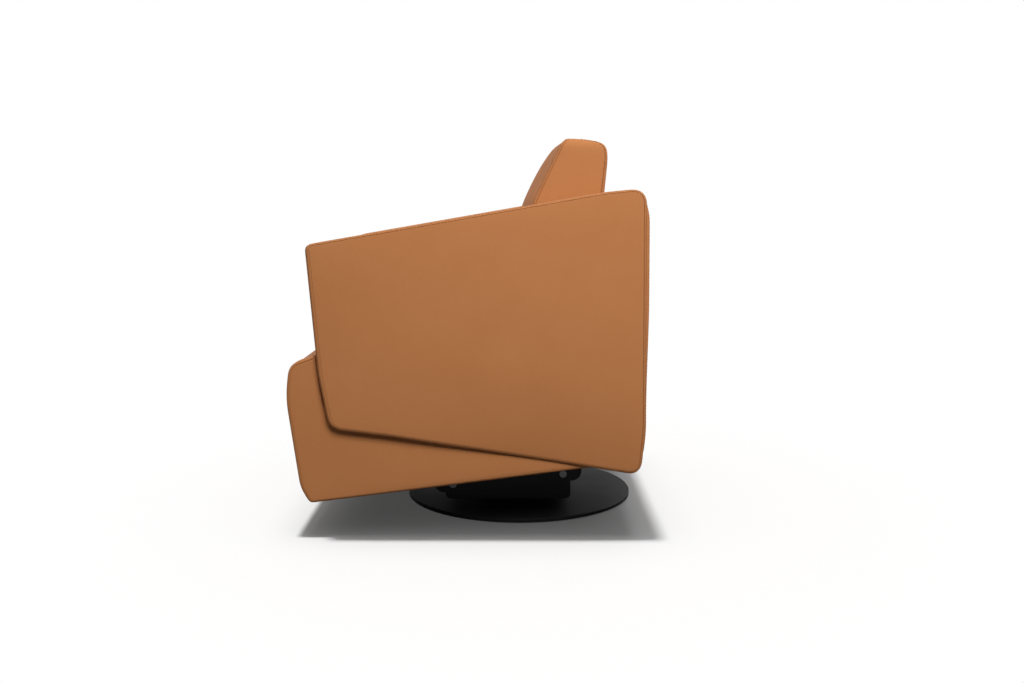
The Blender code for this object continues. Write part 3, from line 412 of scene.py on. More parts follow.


def boxedPad(name, pad):
    rim, across, up = evenRim(pad["corners"], pad.get("sides", [0, 1, 2, 3]), pad["cell"])
    normals = outwardNormals(rim)
    total = len(rim)
    drawn = pad.get("draw", lambda normal: 0.0)  # how far the low panel's outline is drawn in
    lowRim = [spot - normal * drawn(normal) for spot, normal in zip(rim, normals)]
    fit = pad.get("fit", lambda point: point)
    # how deep the seams lie round the outline, and how dark their painted shade is
    sewnAt = pad["sewn"]
    foldShadeAt = pad.get("foldShade", lambda normal: 0.0)  # painted shade where the leather folds under
    bulgeAt = pad.get("bulge", lambda normal, share, spot: 0.0)

    def place(spot, depth):
        u, v = spot
        return fit(Vector({"X": (depth, u, v), "Y": (u, depth, v), "Z": (u, v, depth)}[pad["axis"]]))

    def edgePoint(k, way, angle, lift, inset=0.0):
        face = pad["high"] if way > 0 else pad["low"]
        edge = rim if way > 0 else lowRim
        roll = face["roll"](normals[k])
        lean = math.radians(angle)
        inward = roll * (1 - math.cos(lean)) + inset - lift * math.cos(lean)
        spot = edge[k] - normals[k] * inward
        depth = face["depth"](spot.x, spot.y) - way * (roll * (1 - math.sin(lean)) - lift * math.sin(lean))
        return place(spot, depth)

    bm = bmesh.new()
    pins = bm.verts.layers.deform.verify()
    # seamShade holds painted shade for the seam grooves and the folded edges
    shade = bm.verts.layers.float.new("seamShade")
    order = bm.verts.layers.int.new("rimOrder")

    def growRing(edges, targets, pinned, darkness, hollow=0.0):
        grown = bmesh.ops.extrude_edge_only(bm, edges=edges)["geom"]
        fresh = {item for item in grown if isinstance(item, bmesh.types.BMVert)}
        for vert in fresh:
            k = vert[order]
            vert.co = targets[k]
            vert[pins][0] = pinned
            # painted shade: the groove's darkness, or the folded edge's, whichever is darker
            vert[shade] = max(darkness * sewnAt(normals[k]), hollow * foldShadeAt(normals[k]))
        return [e for e in grown if isinstance(e, bmesh.types.BMEdge) and set(e.verts) <= fresh]

    borders = {}
    for way, face in ((1, pad["high"]), (-1, pad["low"])):
        edge = rim if way > 0 else lowRim
        loop = [spot - normal * face["roll"](normal) for spot, normal in zip(edge, normals)]
        grid = bmesh.ops.create_grid(bm, x_segments=across, y_segments=up, size=1.0)["verts"]
        for vert in grid:
            i, j = round((vert.co.x + 1) / 2 * across), round((vert.co.y + 1) / 2 * up)
            s, t = i / across, j / up
            below, above = loop[i], loop[(2 * across + up - i) % total]
            left, right = loop[(2 * across + 2 * up - j) % total], loop[across + j]
            ends = loop[0] * (1 - s) * (1 - t) + loop[across] * s * (1 - t)
            ends = ends + loop[across + up] * s * t + loop[2 * across + up] * (1 - s) * t
            spot = below * (1 - t) + above * t + left * (1 - s) + right * s - ends
            depth = face["depth"](spot.x, spot.y) + way * face["crown"](s, t, spot.x, spot.y)
            onRim = i in (0, across) or j in (0, up)
            vert[pins][0] = 1.0 if onRim else 0.0
            vert.co = place(spot, depth)
            if j == 0:
                vert[order] = i
            elif i == across:
                vert[order] = across + j
            elif j == up:
                vert[order] = 2 * across + up - i
            elif i == 0:
                vert[order] = 2 * across + 2 * up - j
        inGrid = set(grid)
        borders[way] = [e for e in bm.edges if e.is_boundary and e.verts[0] in inGrid]
    ring = borders[1]
    for angle, lift, dark in seamRings[pad["high"]["seam"]]:
        spots = [edgePoint(k, 1, angle, lift * sewnAt(normals[k])) for k in range(total)]
        ring = growRing(ring, spots, 1.0, dark, easeIn(-angle, *foldShadeReach["edge"]))
    for share in pad["boxing"]:
        spots = []
        for k in range(total):
            spot = rim[k].lerp(lowRim[k], share) + normals[k] * bulgeAt(normals[k], share, rim[k])
            top = pad["high"]["depth"](*rim[k]) - pad["high"]["roll"](normals[k])
            foot = pad["low"]["depth"](*lowRim[k]) + pad["low"]["roll"](normals[k])
            spots.append(place(spot, top + (foot - top) * share))
        # the painted shade of the folded edge fades out across the boxing
        hollow = 1 - easeIn(share, *foldShadeReach["boxing"])
        ring = growRing(ring, spots, pad.get("boxingPin", 0.0), 0.0, hollow)
    for angle, lift, dark in seamRings[pad["low"]["seam"]][::-1] + [(90, 0.0, 0.0)]:
        spots = [edgePoint(k, -1, angle, lift * sewnAt(normals[k])) for k in range(total)]
        ring = growRing(ring, spots, 1.0, dark)
    bmesh.ops.remove_doubles(bm, verts=bm.verts, dist=2e-6)
    bmesh.ops.recalc_face_normals(bm, faces=bm.faces)
    piece = finishMesh(name, bm, leather)
    piece.vertex_groups.new(name="sewn")

    def seamLine(way, angle, inset=0.0):
        # where a row of stitches runs: each point of the rim and whether it is sewn there
        start = pad.get("stitchedFrom", 0.6)
        return [(edgePoint(k, way, angle, 0.0, inset), sewnAt(normals[k]) > start) for k in range(total)]

    return piece, seamLine


def panelFace(depth, roll, seam="plain", crown=0.0):
    # a panel at one depth, or at a depth that varies over it
    return {
        "depth": depth if callable(depth) else lambda u, v: depth,
        "crown": lambda s, t, u, v: crown * pillow(s, t),
        "roll": roll,
        "seam": seam,
    }


def finishMesh(name, bm, material):
    mesh = bpy.data.meshes.new(name)
    bm.to_mesh(mesh)
    bm.free()
    mesh.shade_smooth()
    mesh.materials.append(material)
    piece = bpy.data.objects.new(name, mesh)
    scene.collection.objects.link(piece)
    return piece


def pinHidden(piece, hidden):
    group = piece.vertex_groups["sewn"]
    group.add([v.index for v in piece.data.vertices if hidden(v.co)], 1.0, "REPLACE")


stuffing = {
    "quality": 5, "mass": 0.4, "tension_stiffness": 40, "compression_stiffness": 40, "bending_stiffness": 6,
    "vertex_group_mass": "sewn", "use_pressure": True, "uniform_pressure_force": 4,
}
stuffingFrames = 20


def inflate(piece, swell, limit):
    # stuffing: the panels swell under pressure between their sewn edges, then settle to the given crown
    soft = bpy.data.objects.new("stuffing", piece.data.copy())
    soft.vertex_groups.new(name="sewn")
    scene.collection.objects.link(soft)
    cloth = soft.modifiers.new("cloth", "CLOTH")
    for key, value in stuffing.items():
        setattr(cloth.settings, key, value)
    cloth.settings.effector_weights.gravity = 0
    cloth.collision_settings.use_collision = False
    cloth.point_cache.frame_start = 1
    cloth.point_cache.frame_end = stuffingFrames
    for step in range(1, stuffingFrames + 1):
        scene.frame_set(step)
    settled = soft.evaluated_get(bpy.context.evaluated_depsgraph_get()).data
    moves = [after.co - before.co for before, after in zip(piece.data.vertices, settled.vertices)]
    farthest = max(move.length for move in moves)
    share = min(1.0, swell / max(farthest, 1e-6))
    for vert, move in zip(piece.data.vertices, moves):
        push = move * share
        vert.co += push if push.length < limit else push * (limit / push.length)
    bpy.data.objects.remove(soft)
    scene.frame_set(1)
    print(piece.name, "stuffed, swollen by", round(farthest * share * 1000, 1), "mm")


def upholster(piece, fill, *nodes):
    smooth = piece.modifiers.new("soften", "SUBSURF")
    smooth.levels = smooth.render_levels = 1
    if nodes:
        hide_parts(*nodes)
    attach(piece, "seat")


def mirrorPiece(piece, name):
    mesh = piece.data.copy()
    bm = bmesh.new()
    bm.from_mesh(mesh)
    bmesh.ops.scale(bm, vec=(-1, 1, 1), verts=bm.verts)
    bmesh.ops.reverse_faces(bm, faces=bm.faces)
    bm.to_mesh(mesh)
    bm.free()
    twin = bpy.data.objects.new(name, mesh)
    scene.collection.objects.link(twin)
    return twin


stitch = {"pitch": 0.0070, "length": 0.0046, "width": 0.0013, "raise": 0.0001}


def sewStitches(name, piece, lines):
    # rows of short raised threads that lie on the piece's finished surface
    surface = BVHTree.FromObject(piece, bpy.context.evaluated_depsgraph_get())
    size = Matrix.Diagonal((stitch["length"] / 2, stitch["width"] / 2, stitch["width"] / 2, 1))
    bm = bmesh.new()
    for line in lines:
        travelled = 0.0
        for (here, sewn), (after, _) in zip(line, line[1:] + line[:1]):
            gap = after - here
            while travelled < gap.length:
                if sewn:
                    spot, normal, _, _ = surface.find_nearest(here + gap.normalized() * travelled)
                    turn = gap.to_track_quat("X", "Z").to_matrix().to_4x4()
                    place = Matrix.Translation(spot + normal * stitch["raise"])
                    bmesh.ops.create_icosphere(bm, subdivisions=1, radius=1.0, matrix=place @ turn @ size)
                travelled += stitch["pitch"]
            travelled -= gap.length
    row = finishMesh(name, bm, thread)
    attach(row, "seat")


def mirrorLines(lines):
    return [[(Vector((-p.x, p.y, p.z)), sewn) for p, sewn in line] for line in lines]


def pillow(s, t, power=4):
    return (1 - abs(2 * s - 1) ** power) * (1 - abs(2 * t - 1) ** power)


# Arms: a sloping slab whose outer skirt hangs over the seat side

clearance = 0.0006  # between a cover and the frame that it lies on
armLow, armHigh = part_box("arm_pad_left")
sideLow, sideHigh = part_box("seat_side_panel_left")
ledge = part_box("seat_side_rail_left")[1].z + clearance
panelOut = sideHigh.x + clearance
arm = {
    "corners": [
        (-0.3958, 0.2355, 0.034),  # front foot
        (-0.2700, 0.2200, 0.300),
        (0.2565, 0.1331, 0.024),  # rear foot
        (0.2639, 0.2350, 0.200),
        (0.2591, 0.7345, 0.026),  # rear top
        (0.1757, 0.7266, 0.250),
        (-0.4378, 0.6200, 0.013),  # front top
        (-0.4168, 0.3527, 0.350),
    ],
    "sides": [0, 2, 4, 6],
    "crown": 0.006,
    "stuffed": 0.004, "limit": 0.02,  # what the stuffing adds to the crown, and the most it may push
    "roll": (0.012, 0.0055, 0.007, 0.012),  # below, above, behind, in front
    "sewn": (0.0, 0.7, 1.0, 0.45),  # how deep the seams lie on those sides, and how dark their painted shade is
    "foldShade": (0.52, 0.156),  # painted shade where the face folds under, below and in front
    "inset": 0.006,  # the inner face ends this much lower
    "recess": 0.0042, "recessFrom": (0.02, 0.08),  # the outside back sits in it
    "tuck": 0.013, "tuckHeight": 0.200, "tuckFrom": (-0.30, 0.10),  # the face turns under at its lower rear
    "boxing": [0.02, 0.05, 0.08, 0.14, 0.32, 0.42, 0.52, 0.62, 0.72, 0.82, 0.9, 0.96],
    "skirtEdge": 0.02, "bulge": 0.002, "stitchAngle": 42, "fill": 0.85, "cell": 0.010,
}


def lineAt(points, level):
    # the first coordinate along a run of points where the second is at the given level
    for (lowU, lowV), (highU, highV) in zip(points, points[1:]):
        if level <= highV or (highU, highV) == points[-1]:
            return lowU + (level - lowV) / (highV - lowV) * (highU - lowU)


def armFrontAt(z):
    return lineAt([arm["corners"][k][:2] for k in (0, 7, 6)], z)


def armRearAt(z):
    return lineAt([arm["corners"][k][:2] for k in (2, 3, 4)], z)


def makeArms():
    def overLedge(point):
        # only the skirt reaches down past the seat's side rail
        if point.x < panelOut:
            point.z = max(point.z, ledge)
        return point

    roll = byDirection(*arm["roll"])
    thickness = armHigh.x - armLow.x - 2 * arm["crown"]
    skirt = (armHigh.x - arm["crown"] - panelOut) / thickness
    beside = arm["skirtEdge"]
    boxing = sorted(arm["boxing"] + [skirt * (1 - beside), skirt * (1 + beside)])
    foldShadeBelow, foldShadeFront = arm["foldShade"]
    shaped = arm["crown"] - arm["stuffed"]

    def outerAt(u, v):
        above = v - lineAt([corner[1::-1] for corner in arm["corners"][:3]], u)
        turn = min(1.0, max(0.0, 1 - above / arm["tuckHeight"])) ** 2 * easeIn(u, *arm["tuckFrom"])
        return armHigh.x - arm["crown"] - arm["tuck"] * turn

    def bulge(normal, share, spot):
        swell = arm["bulge"] * 4 * share * (1 - share) * max(0.0, normal.y, -normal.x)
        return swell - arm["recess"] * max(0.0, normal.x) ** 2 * (easeIn(share, *arm["recessFrom"]) - share)

    pad = {
        "corners": arm["corners"], "sides": arm["sides"], "cell": arm["cell"], "axis": "X",
        "high": panelFace(outerAt, roll, "panel", shaped),
        "low": panelFace(armLow.x + arm["crown"], roll, "panel", shaped),
        "foldShade": byDirection(foldShadeBelow, 0.0, 0.0, foldShadeFront),
        "sewn": byDirection(*arm["sewn"]),
        "draw": byDirection(0.0, arm["inset"], arm["recess"], 0.0),
        "boxing": boxing, "bulge": bulge, "fit": overLedge,
    }
    left, seamLine = boxedPad("armLeft", pad)
    inflate(left, arm["stuffed"], arm["limit"])
    right = mirrorPiece(left, "armRight")
    rows = [seamLine(way, arm["stitchAngle"]) for way in (1, -1)]
    for piece, node, lines in ((left, "arm_pad_left", rows), (right, "arm_pad_right", mirrorLines(rows))):
        upholster(piece, arm["fill"], node)
        sewStitches(piece.name + "Stitches", piece, lines)
    print("arms made")


makeArms()


# Seat: its profile, which the sides, the cushion and the front share

seat = {
    "nose": [  # down the front, from the arm to the hem
        (-0.4808, 0.3702, 0.032),
        (-0.4896, 0.3000, 0.250),
        (-0.4640, 0.1080, 0.080),
        (-0.4445, 0.0732, 0.009),
    ],
    "topZ": 0.3972, "topY": -0.404,  # where the top turns down to the nose
    "fall": 0.023,  # the top is this much lower at the back
    "crown": 0.014, "shares": (0.6, 0.4),  # the crown, and what the pattern and the stuffing give of it
    "limit": 0.024,
    "frontCrown": 0.0025, "swellPower": 2.5,
    "rearTuck": 0.07,  # towards the back the crown dies away over this length
    "noseReach": (0.02, 0.12),  # and at the front from before the turn to behind it
    "brim": 0.0046, "brimWidth": 0.08,  # the side seams stand this much above the top at the front
    "armGap": 0.0036,
    "endRoll": (0.003, 0.005, 0.003, 0.005),
    "radii": (0.003, 0.004, 0.018, 0.100),  # front seam, rear foot, rear top, turn of the top
    "wingCuts": (0.06, 0.14, 0.26, 0.42, 0.60, 0.80, 0.985, 1.015), "middleCuts": 22,
    "pinned": (0.03, 0.004),  # leather that lies this near the deck and the back, or the arms, stays
    "fill": 0.75, "cell": 0.008,
}
seatSide = {
    "hemSlope": 0.130, "armZ": 0.386,  # rise of the hem, and where the top seam meets the arm
    "roll": (0.008, 0.007, 0.003, 0.010), "innerRoll": 0.002, "sewn": (0.0, 1.0, 0.0, 0.3),
    "crown": 0.002, "hemRadius": 0.010, "radius": 0.003, "underArm": 0.001, "fill": 0.9,
}
seatFront = {"inset": 0.001, "hemRise": 0.002, "radius": 0.003, "cuts": 48, "fill": 0.85}


def makeSeatSides():
    rearY = sideHigh.y
    hemY, hemZ, _ = seat["nose"][3]
    rearHem = hemZ + seatSide["hemSlope"] * (rearY - hemY)
    topY = armFrontAt(seatSide["armZ"]) - seat["armGap"]
    shoulderY, shoulderZ, _ = seat["nose"][0]
    topZ = shoulderZ + (topY - shoulderY) * (seat["topZ"] - shoulderZ) / (seat["topY"] - shoulderY)
    headZ, radius = ledge - seatSide["underArm"], seatSide["radius"]
    pad = {
        "corners": [
            seat["nose"][3],
            (rearY, rearHem, seatSide["hemRadius"]),
            (rearY, headZ, radius),
            (armFrontAt(ledge) - seat["armGap"], headZ, radius),
            (topY, topZ, radius),
            *seat["nose"][:3],
        ],
        "sides": [0, 1, 2, 5], "cell": seat["cell"], "axis": "X",
        "high": panelFace(
            sideHigh.x - seatSide["crown"], byDirection(*seatSide["roll"]), "edge", seatSide["crown"]
        ),
        "low": panelFace(sideLow.x, allRound(seatSide["innerRoll"])),
        "sewn": byDirection(*seatSide["sewn"]),
        "boxing": [0.5], "boxingPin": 1.0,
    }
    left, _ = boxedPad("seatSideLeft", pad)
    right = mirrorPiece(left, "seatSideRight")
    for piece, node in ((left, "seat_side_panel_left"), (right, "seat_side_panel_right")):
        upholster(piece, seatSide["fill"], node)
    print("seat sides made")


makeSeatSides()


# Seat cushion and front

def acrossSwell(share):
    return 1 - abs(2 * share - 1) ** seat["swellPower"]


def noseRise(normal):
    return seat["frontCrown"] * max(0.0, -normal.x) ** 3


def frontSeam():
    # the seam across the front, level with the cushion's floor
    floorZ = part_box("seat_cushion")[0].z
    return lineAt([corner[:2] for corner in seat["nose"][2:0:-1]], floorZ)


def makeSeat():
    cushionLow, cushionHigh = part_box("seat_cushion")
    half, rearY, floorZ = cushionHigh.x, cushionHigh.y, cushionLow.z
    armIn = armLow.x - clearance
    turnY, topZ = seat["topY"], seat["topZ"]
    before, behind = seat["noseReach"]
    near, beside = seat["pinned"]
    shaped, stuffed = seat["shares"]
    seamRadius, footRadius, rearRadius, turnRadius = seat["radii"]
    wing = (half - armIn) / (2 * half)
    cuts = seat["middleCuts"]
    boxing = [wing * k for k in seat["wingCuts"]]
    boxing += [wing + (0.5 - wing) * k / cuts for k in range(1, cuts + 1)]
    boxing += [1 - share for share in boxing[-2::-1]]

    def besideArms(point):
        if abs(point.x) > armIn:
            point.y = min(point.y, armFrontAt(point.z) - seat["armGap"])
        return point

    def topBulge(normal, share, spot):
        tuck = easeIn(rearY - spot.x, 0.0, seat["rearTuck"])
        tuck = tuck * easeIn(spot.x, turnY - before, turnY + behind)
        rise = seat["crown"] * shaped * tuck * max(0.0, normal.y) + noseRise(normal)
        level = max(0.0, normal.y) * (1 - easeIn(spot.x, turnY, turnY + behind))
        dip = seat["brim"] * level * easeIn(min(share, 1 - share), 0.0, seat["brimWidth"])
        return rise * acrossSwell(share) - dip

    def hidden(p):
        under = p.z < floorZ + near or p.y > rearY - near
        return under or p.y < turnY or abs(p.x) > armIn - beside

    end = byDirection(*seat["endRoll"])
    pad = {
        "corners": [
            (frontSeam(), floorZ, seamRadius),
            (rearY, floorZ, footRadius),
            (rearY, topZ - seat["fall"], rearRadius),
            (turnY, topZ, turnRadius),
            *seat["nose"][:2],
        ],
        "sides": [0, 1, 2, 4], "cell": seat["cell"], "axis": "X",
        "high": panelFace(half, end), "low": panelFace(-half, end),
        "sewn": byDirection(0.0, 1.0, 0.0, 1.0),
        "boxing": boxing, "bulge": topBulge, "fit": besideArms,
    }
    cushion, _ = boxedPad("seatCushion", pad)
    pinHidden(cushion, hidden)
    inflate(cushion, seat["crown"] * stuffed, seat["limit"])
    upholster(cushion, seat["fill"], "seat_cushion")
    print("seat made")


def makeSeatFront():
    frontLow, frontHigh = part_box("seat_front_panel")
    innerY, radius, cuts = frontHigh.y - seatFront["inset"], seatFront["radius"], seatFront["cuts"]
    end = byDirection(*seat["endRoll"])
    pad = {
        "corners": [
            seat["nose"][3],
            (innerY, seat["nose"][3][1] + seatFront["hemRise"], radius),
            (innerY, frontHigh.z, radius),
            (frontSeam(), frontHigh.z, radius),
            seat["nose"][2],
        ],
        "cell": seat["cell"], "axis": "X",
        "high": panelFace(frontHigh.x, end), "low": panelFace(frontLow.x, end),
        "sewn": byDirection(0.0, 0.0, 0.0, 1.0),
        "boxing": [k / cuts for k in range(1, cuts)], "boxingPin": 1.0,
        "bulge": lambda normal, share, spot: noseRise(normal) * acrossSwell(share),
    }
    front, _ = boxedPad("seatFront", pad)
    upholster(front, seatFront["fill"], "seat_front_panel")
    print("seat front made")


makeSeat()
makeSeatFront()


# Inner back: a crowned panel whose head leans back above the arms

back = {
    "shoulderZ": 0.685, "lean": 0.482, "blend": 0.040,
    "topZ": 0.8395, "topFall": 0.001, "topRadius": 0.016,
    "frontY": 0.020,
    "rear": [  # up the rear edge and round into the top
        (0.1750, 0.260), (0.1780, 0.690), (0.1800, 0.725), (0.1868, 0.788), (0.1878, 0.805),
        (0.1866, 0.816), (0.1830, 0.8245), (0.1765, 0.8305), (0.1665, 0.8345), (0.1520, 0.837),
        (0.1360, 0.8385), (0.1200, 0.844),
    ],
    "crown": 0.032, "shares": (0.7, 0.3),  # the front's, and what the pattern and the stuffing give of it
    "limit": 0.026,
    "fullFrom": 0.09,  # the crown is full this much above the seat
    "crownFill": (0.140, 0.22),  # and this much below the top seam, where it starts this steeply
    "bend": (0.018, 0.004),  # the last stretch below the top, and how far it bends back
    "rearCrown": 0.006, "crownPowers": (4, 6),  # how squarely the front and the rear fill out
    "footRoll": 0.010, "topRoll": 0.0055, "sideRoll": 0.0085, "rearRoll": (0.010, 0.004, 0.009, 0.009),
    "footRadius": 0.012, "pinned": 0.01,
    "stitches": ((-1, 90, 0.0008), (1, 22, 0.0)),  # front or rear panel, angle round the edge, inset
    "cuts": 12, "fill": 0.75, "cell": 0.010,
}


def backFrontAt(z):
    above = z - back["shoulderZ"]
    stretch, bend = back["bend"]
    bent = bend * max(0.0, 1 - (back["topZ"] - z) / stretch) ** 2
    if above < -back["blend"]:
        return back["frontY"]
    if above > back["blend"]:
        return back["frontY"] + back["lean"] * above + bent
    return back["frontY"] + back["lean"] * (above + back["blend"]) ** 2 / (4 * back["blend"])


def makeBack():
    backLow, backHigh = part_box("back_cushion")
    half, floorZ, top = backHigh.x, backLow.z, back["topZ"]
    seatTop = seat["topZ"] - seat["fall"] + seat["crown"] / 2
    shaped, stuffed = back["shares"]
    depth, steep = back["crownFill"]
    frontPower, rearPower = back["crownPowers"]
    seamZ = top + back["topFall"] - back["topRoll"]

    def frontCrown(s, t, u, v):
        below = easeIn(v, seatTop, seatTop + back["fullFrom"])
        above = min(1.0, max(0.0, seamZ - v) / depth) ** steep
        return back["crown"] * shaped * below * above * (1 - abs(2 * s - 1) ** frontPower)

    pad = {
        "corners": rectangle(half, floorZ, top, back["footRadius"], back["topRadius"]),
        "cell": back["cell"], "axis": "Y",
        "high": {
            "depth": lambda u, v: lineAt(back["rear"], v),
            "crown": lambda s, t, u, v: back["rearCrown"] * pillow(s, t, rearPower),
            "roll": byDirection(*back["rearRoll"]),
            "seam": "edge",
        },
        "low": {
            "depth": lambda u, v: backFrontAt(v),
            "crown": frontCrown,
            "roll": byDirection(back["footRoll"], back["topRoll"], back["sideRoll"], back["sideRoll"]),
            "seam": "edge",
        },
        "sewn": byDirection(0.0, 1.0, 1.0, 1.0),
        "draw": byDirection(0.0, -back["topFall"], 0.0, 0.0),
        "boxing": [k / back["cuts"] for k in range(1, back["cuts"])],
    }
    cushion, seamLine = boxedPad("backCushion", pad)
    pinHidden(cushion, lambda p: p.z < seatTop + back["pinned"])
    inflate(cushion, back["crown"] * stuffed, back["limit"])
    upholster(cushion, back["fill"], "back_cushion")
    rows = [[(p, sewn and p.z > seatTop) for p, sewn in seamLine(*row)] for row in back["stitches"]]
    sewStitches("backStitches", cushion, rows)
    print("back made")


makeBack()


# Outside back and the cap behind the head

outside = {
    "half": 0.3774, "hemZ": 0.158, "topZ": 0.7200, "hemRadius": 0.060, "topRadius": 0.020,
    "thin": 0.0046, "swell": 0.0050,  # thickness at the sewn edge, and more where the padding is full
    "full": (0.27, 0.52, 0.668, 0.722),  # heights between which it fills out and thins again
    "flush": (0.0014, 0.045),  # thickness at the top edge, and how far down it takes to fill
    "crown": 0.007, "shares": (0.4, 0.6), "limit": 0.012,
    "roll": 0.0036, "innerRoll": 0.0006, "sewn": 0.3, "stitchedFrom": 0.2, "stitchInset": 0.0015,
    "pinned": 0.001, "fill": 0.8, "cell": 0.012,
}
backCap = {
    "thick": 0.007, "crown": 0.001, "roll": 0.003, "lowRoll": 0.001, "radius": 0.002,
    "gap": 0.0004, "fill": 0.9,
}


def outsideInnerAt(u, v):
    return armRearAt(v) - arm["recess"] + clearance


def makeOutsideBack():
    half, top = outside["half"], outside["topZ"]
    start, filled, thinning, end = outside["full"]
    flush, flushDepth = outside["flush"]
    shaped, stuffed = outside["shares"]

    def outerAt(u, v):
        full = easeIn(v, start, filled) * (1 - easeIn(v, thinning, end))
        edge = flush + (outside["thin"] - flush) * easeIn(top - v, 0.0, flushDepth)
        return outsideInnerAt(u, v) + edge + outside["swell"] * full

    pad = {
        "corners": rectangle(half, outside["hemZ"], top, outside["hemRadius"], outside["topRadius"]),
        "cell": outside["cell"], "axis": "Y",
        "high": panelFace(outerAt, allRound(outside["roll"]), "panel", outside["crown"] * shaped),
        "low": panelFace(outsideInnerAt, allRound(outside["innerRoll"])),
        "sewn": allRound(outside["sewn"]), "stitchedFrom": outside["stitchedFrom"],
        "boxing": [0.5], "boxingPin": 1.0,
    }
    panel, seamLine = boxedPad("outsideBack", pad)
    pinHidden(panel, lambda p: p.y < outsideInnerAt(p.x, p.z) + outside["pinned"])
    inflate(panel, outside["crown"] * stuffed, outside["limit"])
    upholster(panel, outside["fill"], "outside_back")
    sewStitches("outsideBackStitches", panel, [seamLine(1, 90, outside["stitchInset"])])
    print("outside back made")


def makeBackCap():
    half = armLow.x + arm["crown"] + backCap["gap"]
    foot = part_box("back_post_left")[1].z + clearance
    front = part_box("back_cushion")[1].y + clearance
    rear = outsideInnerAt(0, outside["topZ"]) - backCap["gap"]
    crown = backCap["crown"]
    pad = {
        "corners": rectangle(half, front, rear, backCap["radius"], backCap["radius"]),
        "cell": outside["cell"], "axis": "Z",
        "high": panelFace(foot + backCap["thick"], allRound(backCap["roll"]), "plain", crown),
        "low": panelFace(foot + crown, allRound(backCap["lowRoll"]), "plain", crown),
        "sewn": allRound(0.0), "boxing": [0.5],
    }
    strip, _ = boxedPad("backCap", pad)
    upholster(strip, backCap["fill"])
    print("back cap made")


makeOutsideBack()
makeBackCap()


# Dust cover: black cloth from each stretcher to the side rail, beside the mechanism

dust = {
    "above": 0.010, "lap": 0.018, "clear": 0.0008, "sag": 0.007, "thick": 0.0005,
    "cells": (10, 40), "near": 1e-5,
}


def makeDustCover():
    stretcherLow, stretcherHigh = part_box("seat_stretcher_left")
    railLow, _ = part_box("seat_side_rail_left")
    cloth = makeDustCloth()
    inner = Vector((stretcherHigh.x + dust["clear"], 0, stretcherLow.z + dust["above"]))
    outer = Vector((railLow.x + dust["clear"], 0, railLow.z - dust["clear"]))
    length = stretcherHigh.y - stretcherLow.y - 2 * dust["clear"]
    across, along = dust["cells"]

    def boundaryAt(bm, x):
        rim = [edge for edge in bm.edges if edge.is_boundary]
        return [edge for edge in rim if all(abs(abs(v.co.x) - x) < dust["near"] for v in edge.verts)]

    for side, hand in ((1, "left"), (-1, "right")):
        bm = bmesh.new()
        grid = bmesh.ops.create_grid(bm, x_segments=across, y_segments=along, size=0.5)["verts"]
        for vert in grid:
            s, t = vert.co.x + 0.5, vert.co.y + 0.5
            hollow = dust["sag"] * 4 * s * (1 - s) * (1 - abs(2 * t - 1) ** 4)
            spot = inner.lerp(outer, s) - Vector((0, 0, hollow))
            vert.co = (side * spot.x, stretcherLow.y + dust["clear"] + length * t, spot.z)
        inEdge, outEdge = boundaryAt(bm, inner.x), boundaryAt(bm, outer.x)
        for edges, shift in ((inEdge, (0, 0, dust["lap"])), (outEdge, (side * dust["lap"], 0, 0))):
            grown = bmesh.ops.extrude_edge_only(bm, edges=edges)["geom"]
            fresh = [item for item in grown if isinstance(item, bmesh.types.BMVert)]
            bmesh.ops.translate(bm, vec=shift, verts=fresh)
        bmesh.ops.recalc_face_normals(bm, faces=bm.faces)
        piece = finishMesh("dustCover" + hand.capitalize(), bm, cloth)
        wall = piece.modifiers.new("thickness", "SOLIDIFY")
        wall.thickness = dust["thick"]
        wall.offset = 0
        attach(piece, "seat")
    print("dust cover made")


makeDustCover()


# Finishes of the frame and the mechanism

def dressSolids():
    upright = (math.pi / 2, 0, 0)
    crosswise = (0, 0, math.pi / 2)
    # each coat: colour, roughness, how much rougher it is where it is worn, strength of the peel
    discBlack = makeCoated("discBlack", (0.005, 0.005, 0.005), 0.42, 0.10, 0.05, level=0.035)
    frameBlack = makeCoated("frameBlack", (0.004, 0.004, 0.0042), 0.50, 0.14, 0.12, level=0.10)
    zincPlate = makeCoated("zincPlate", (0.045, 0.045, 0.048), 0.32, 0.20, 0.06, metallic=1.0)
    paleNylon = makeCoated("paleNylon", (0.66, 0.65, 0.61), 0.45, 0.10, 0.05)
    blackRubber = makeCoated("blackRubber", (0.016, 0.016, 0.016), 0.70, 0.15, 0.20, level=0.3)
    beechAlong = makeTimber("beechAlong", (0, 0, 0))
    beechAcross = makeTimber("beechAcross", crosswise)
    beechUp = makeTimber("beechUp", upright)
    ply, strap, felt = makePly(), makeWebbing(), makeFelt()
    finishes = [
        (felt, ("floor_pad",)),
        (discBlack, ("base_disc",)),
        (zincPlate, ("bearing", "plate_bolt", "upper_pin", "lower_pin")),
        (paleNylon, ("upper_bush", "lower_bush")),
        (frameBlack, ("turntable", "hanger", "swing", "glide")),
        (blackRubber, ("stop",)),
        (strap, ("seat_webbing", "back_webbing")),
        (ply, ("arm_frame",)),
        (beechAlong, ("seat_stretcher", "seat_side_rail")),
        (beechAcross, ("seat_front_rail", "seat_rear_rail", "back_top_rail", "back_lower_rail")),
        (beechUp, ("back_post",)),
    ]
    for name, solid in solids.items():
        for finish, starts in finishes:
            if name.startswith(starts):
                solid.data.materials.clear()
                solid.data.materials.append(finish)
    print("frame and mechanism finished")


dressSolids()


# Studio

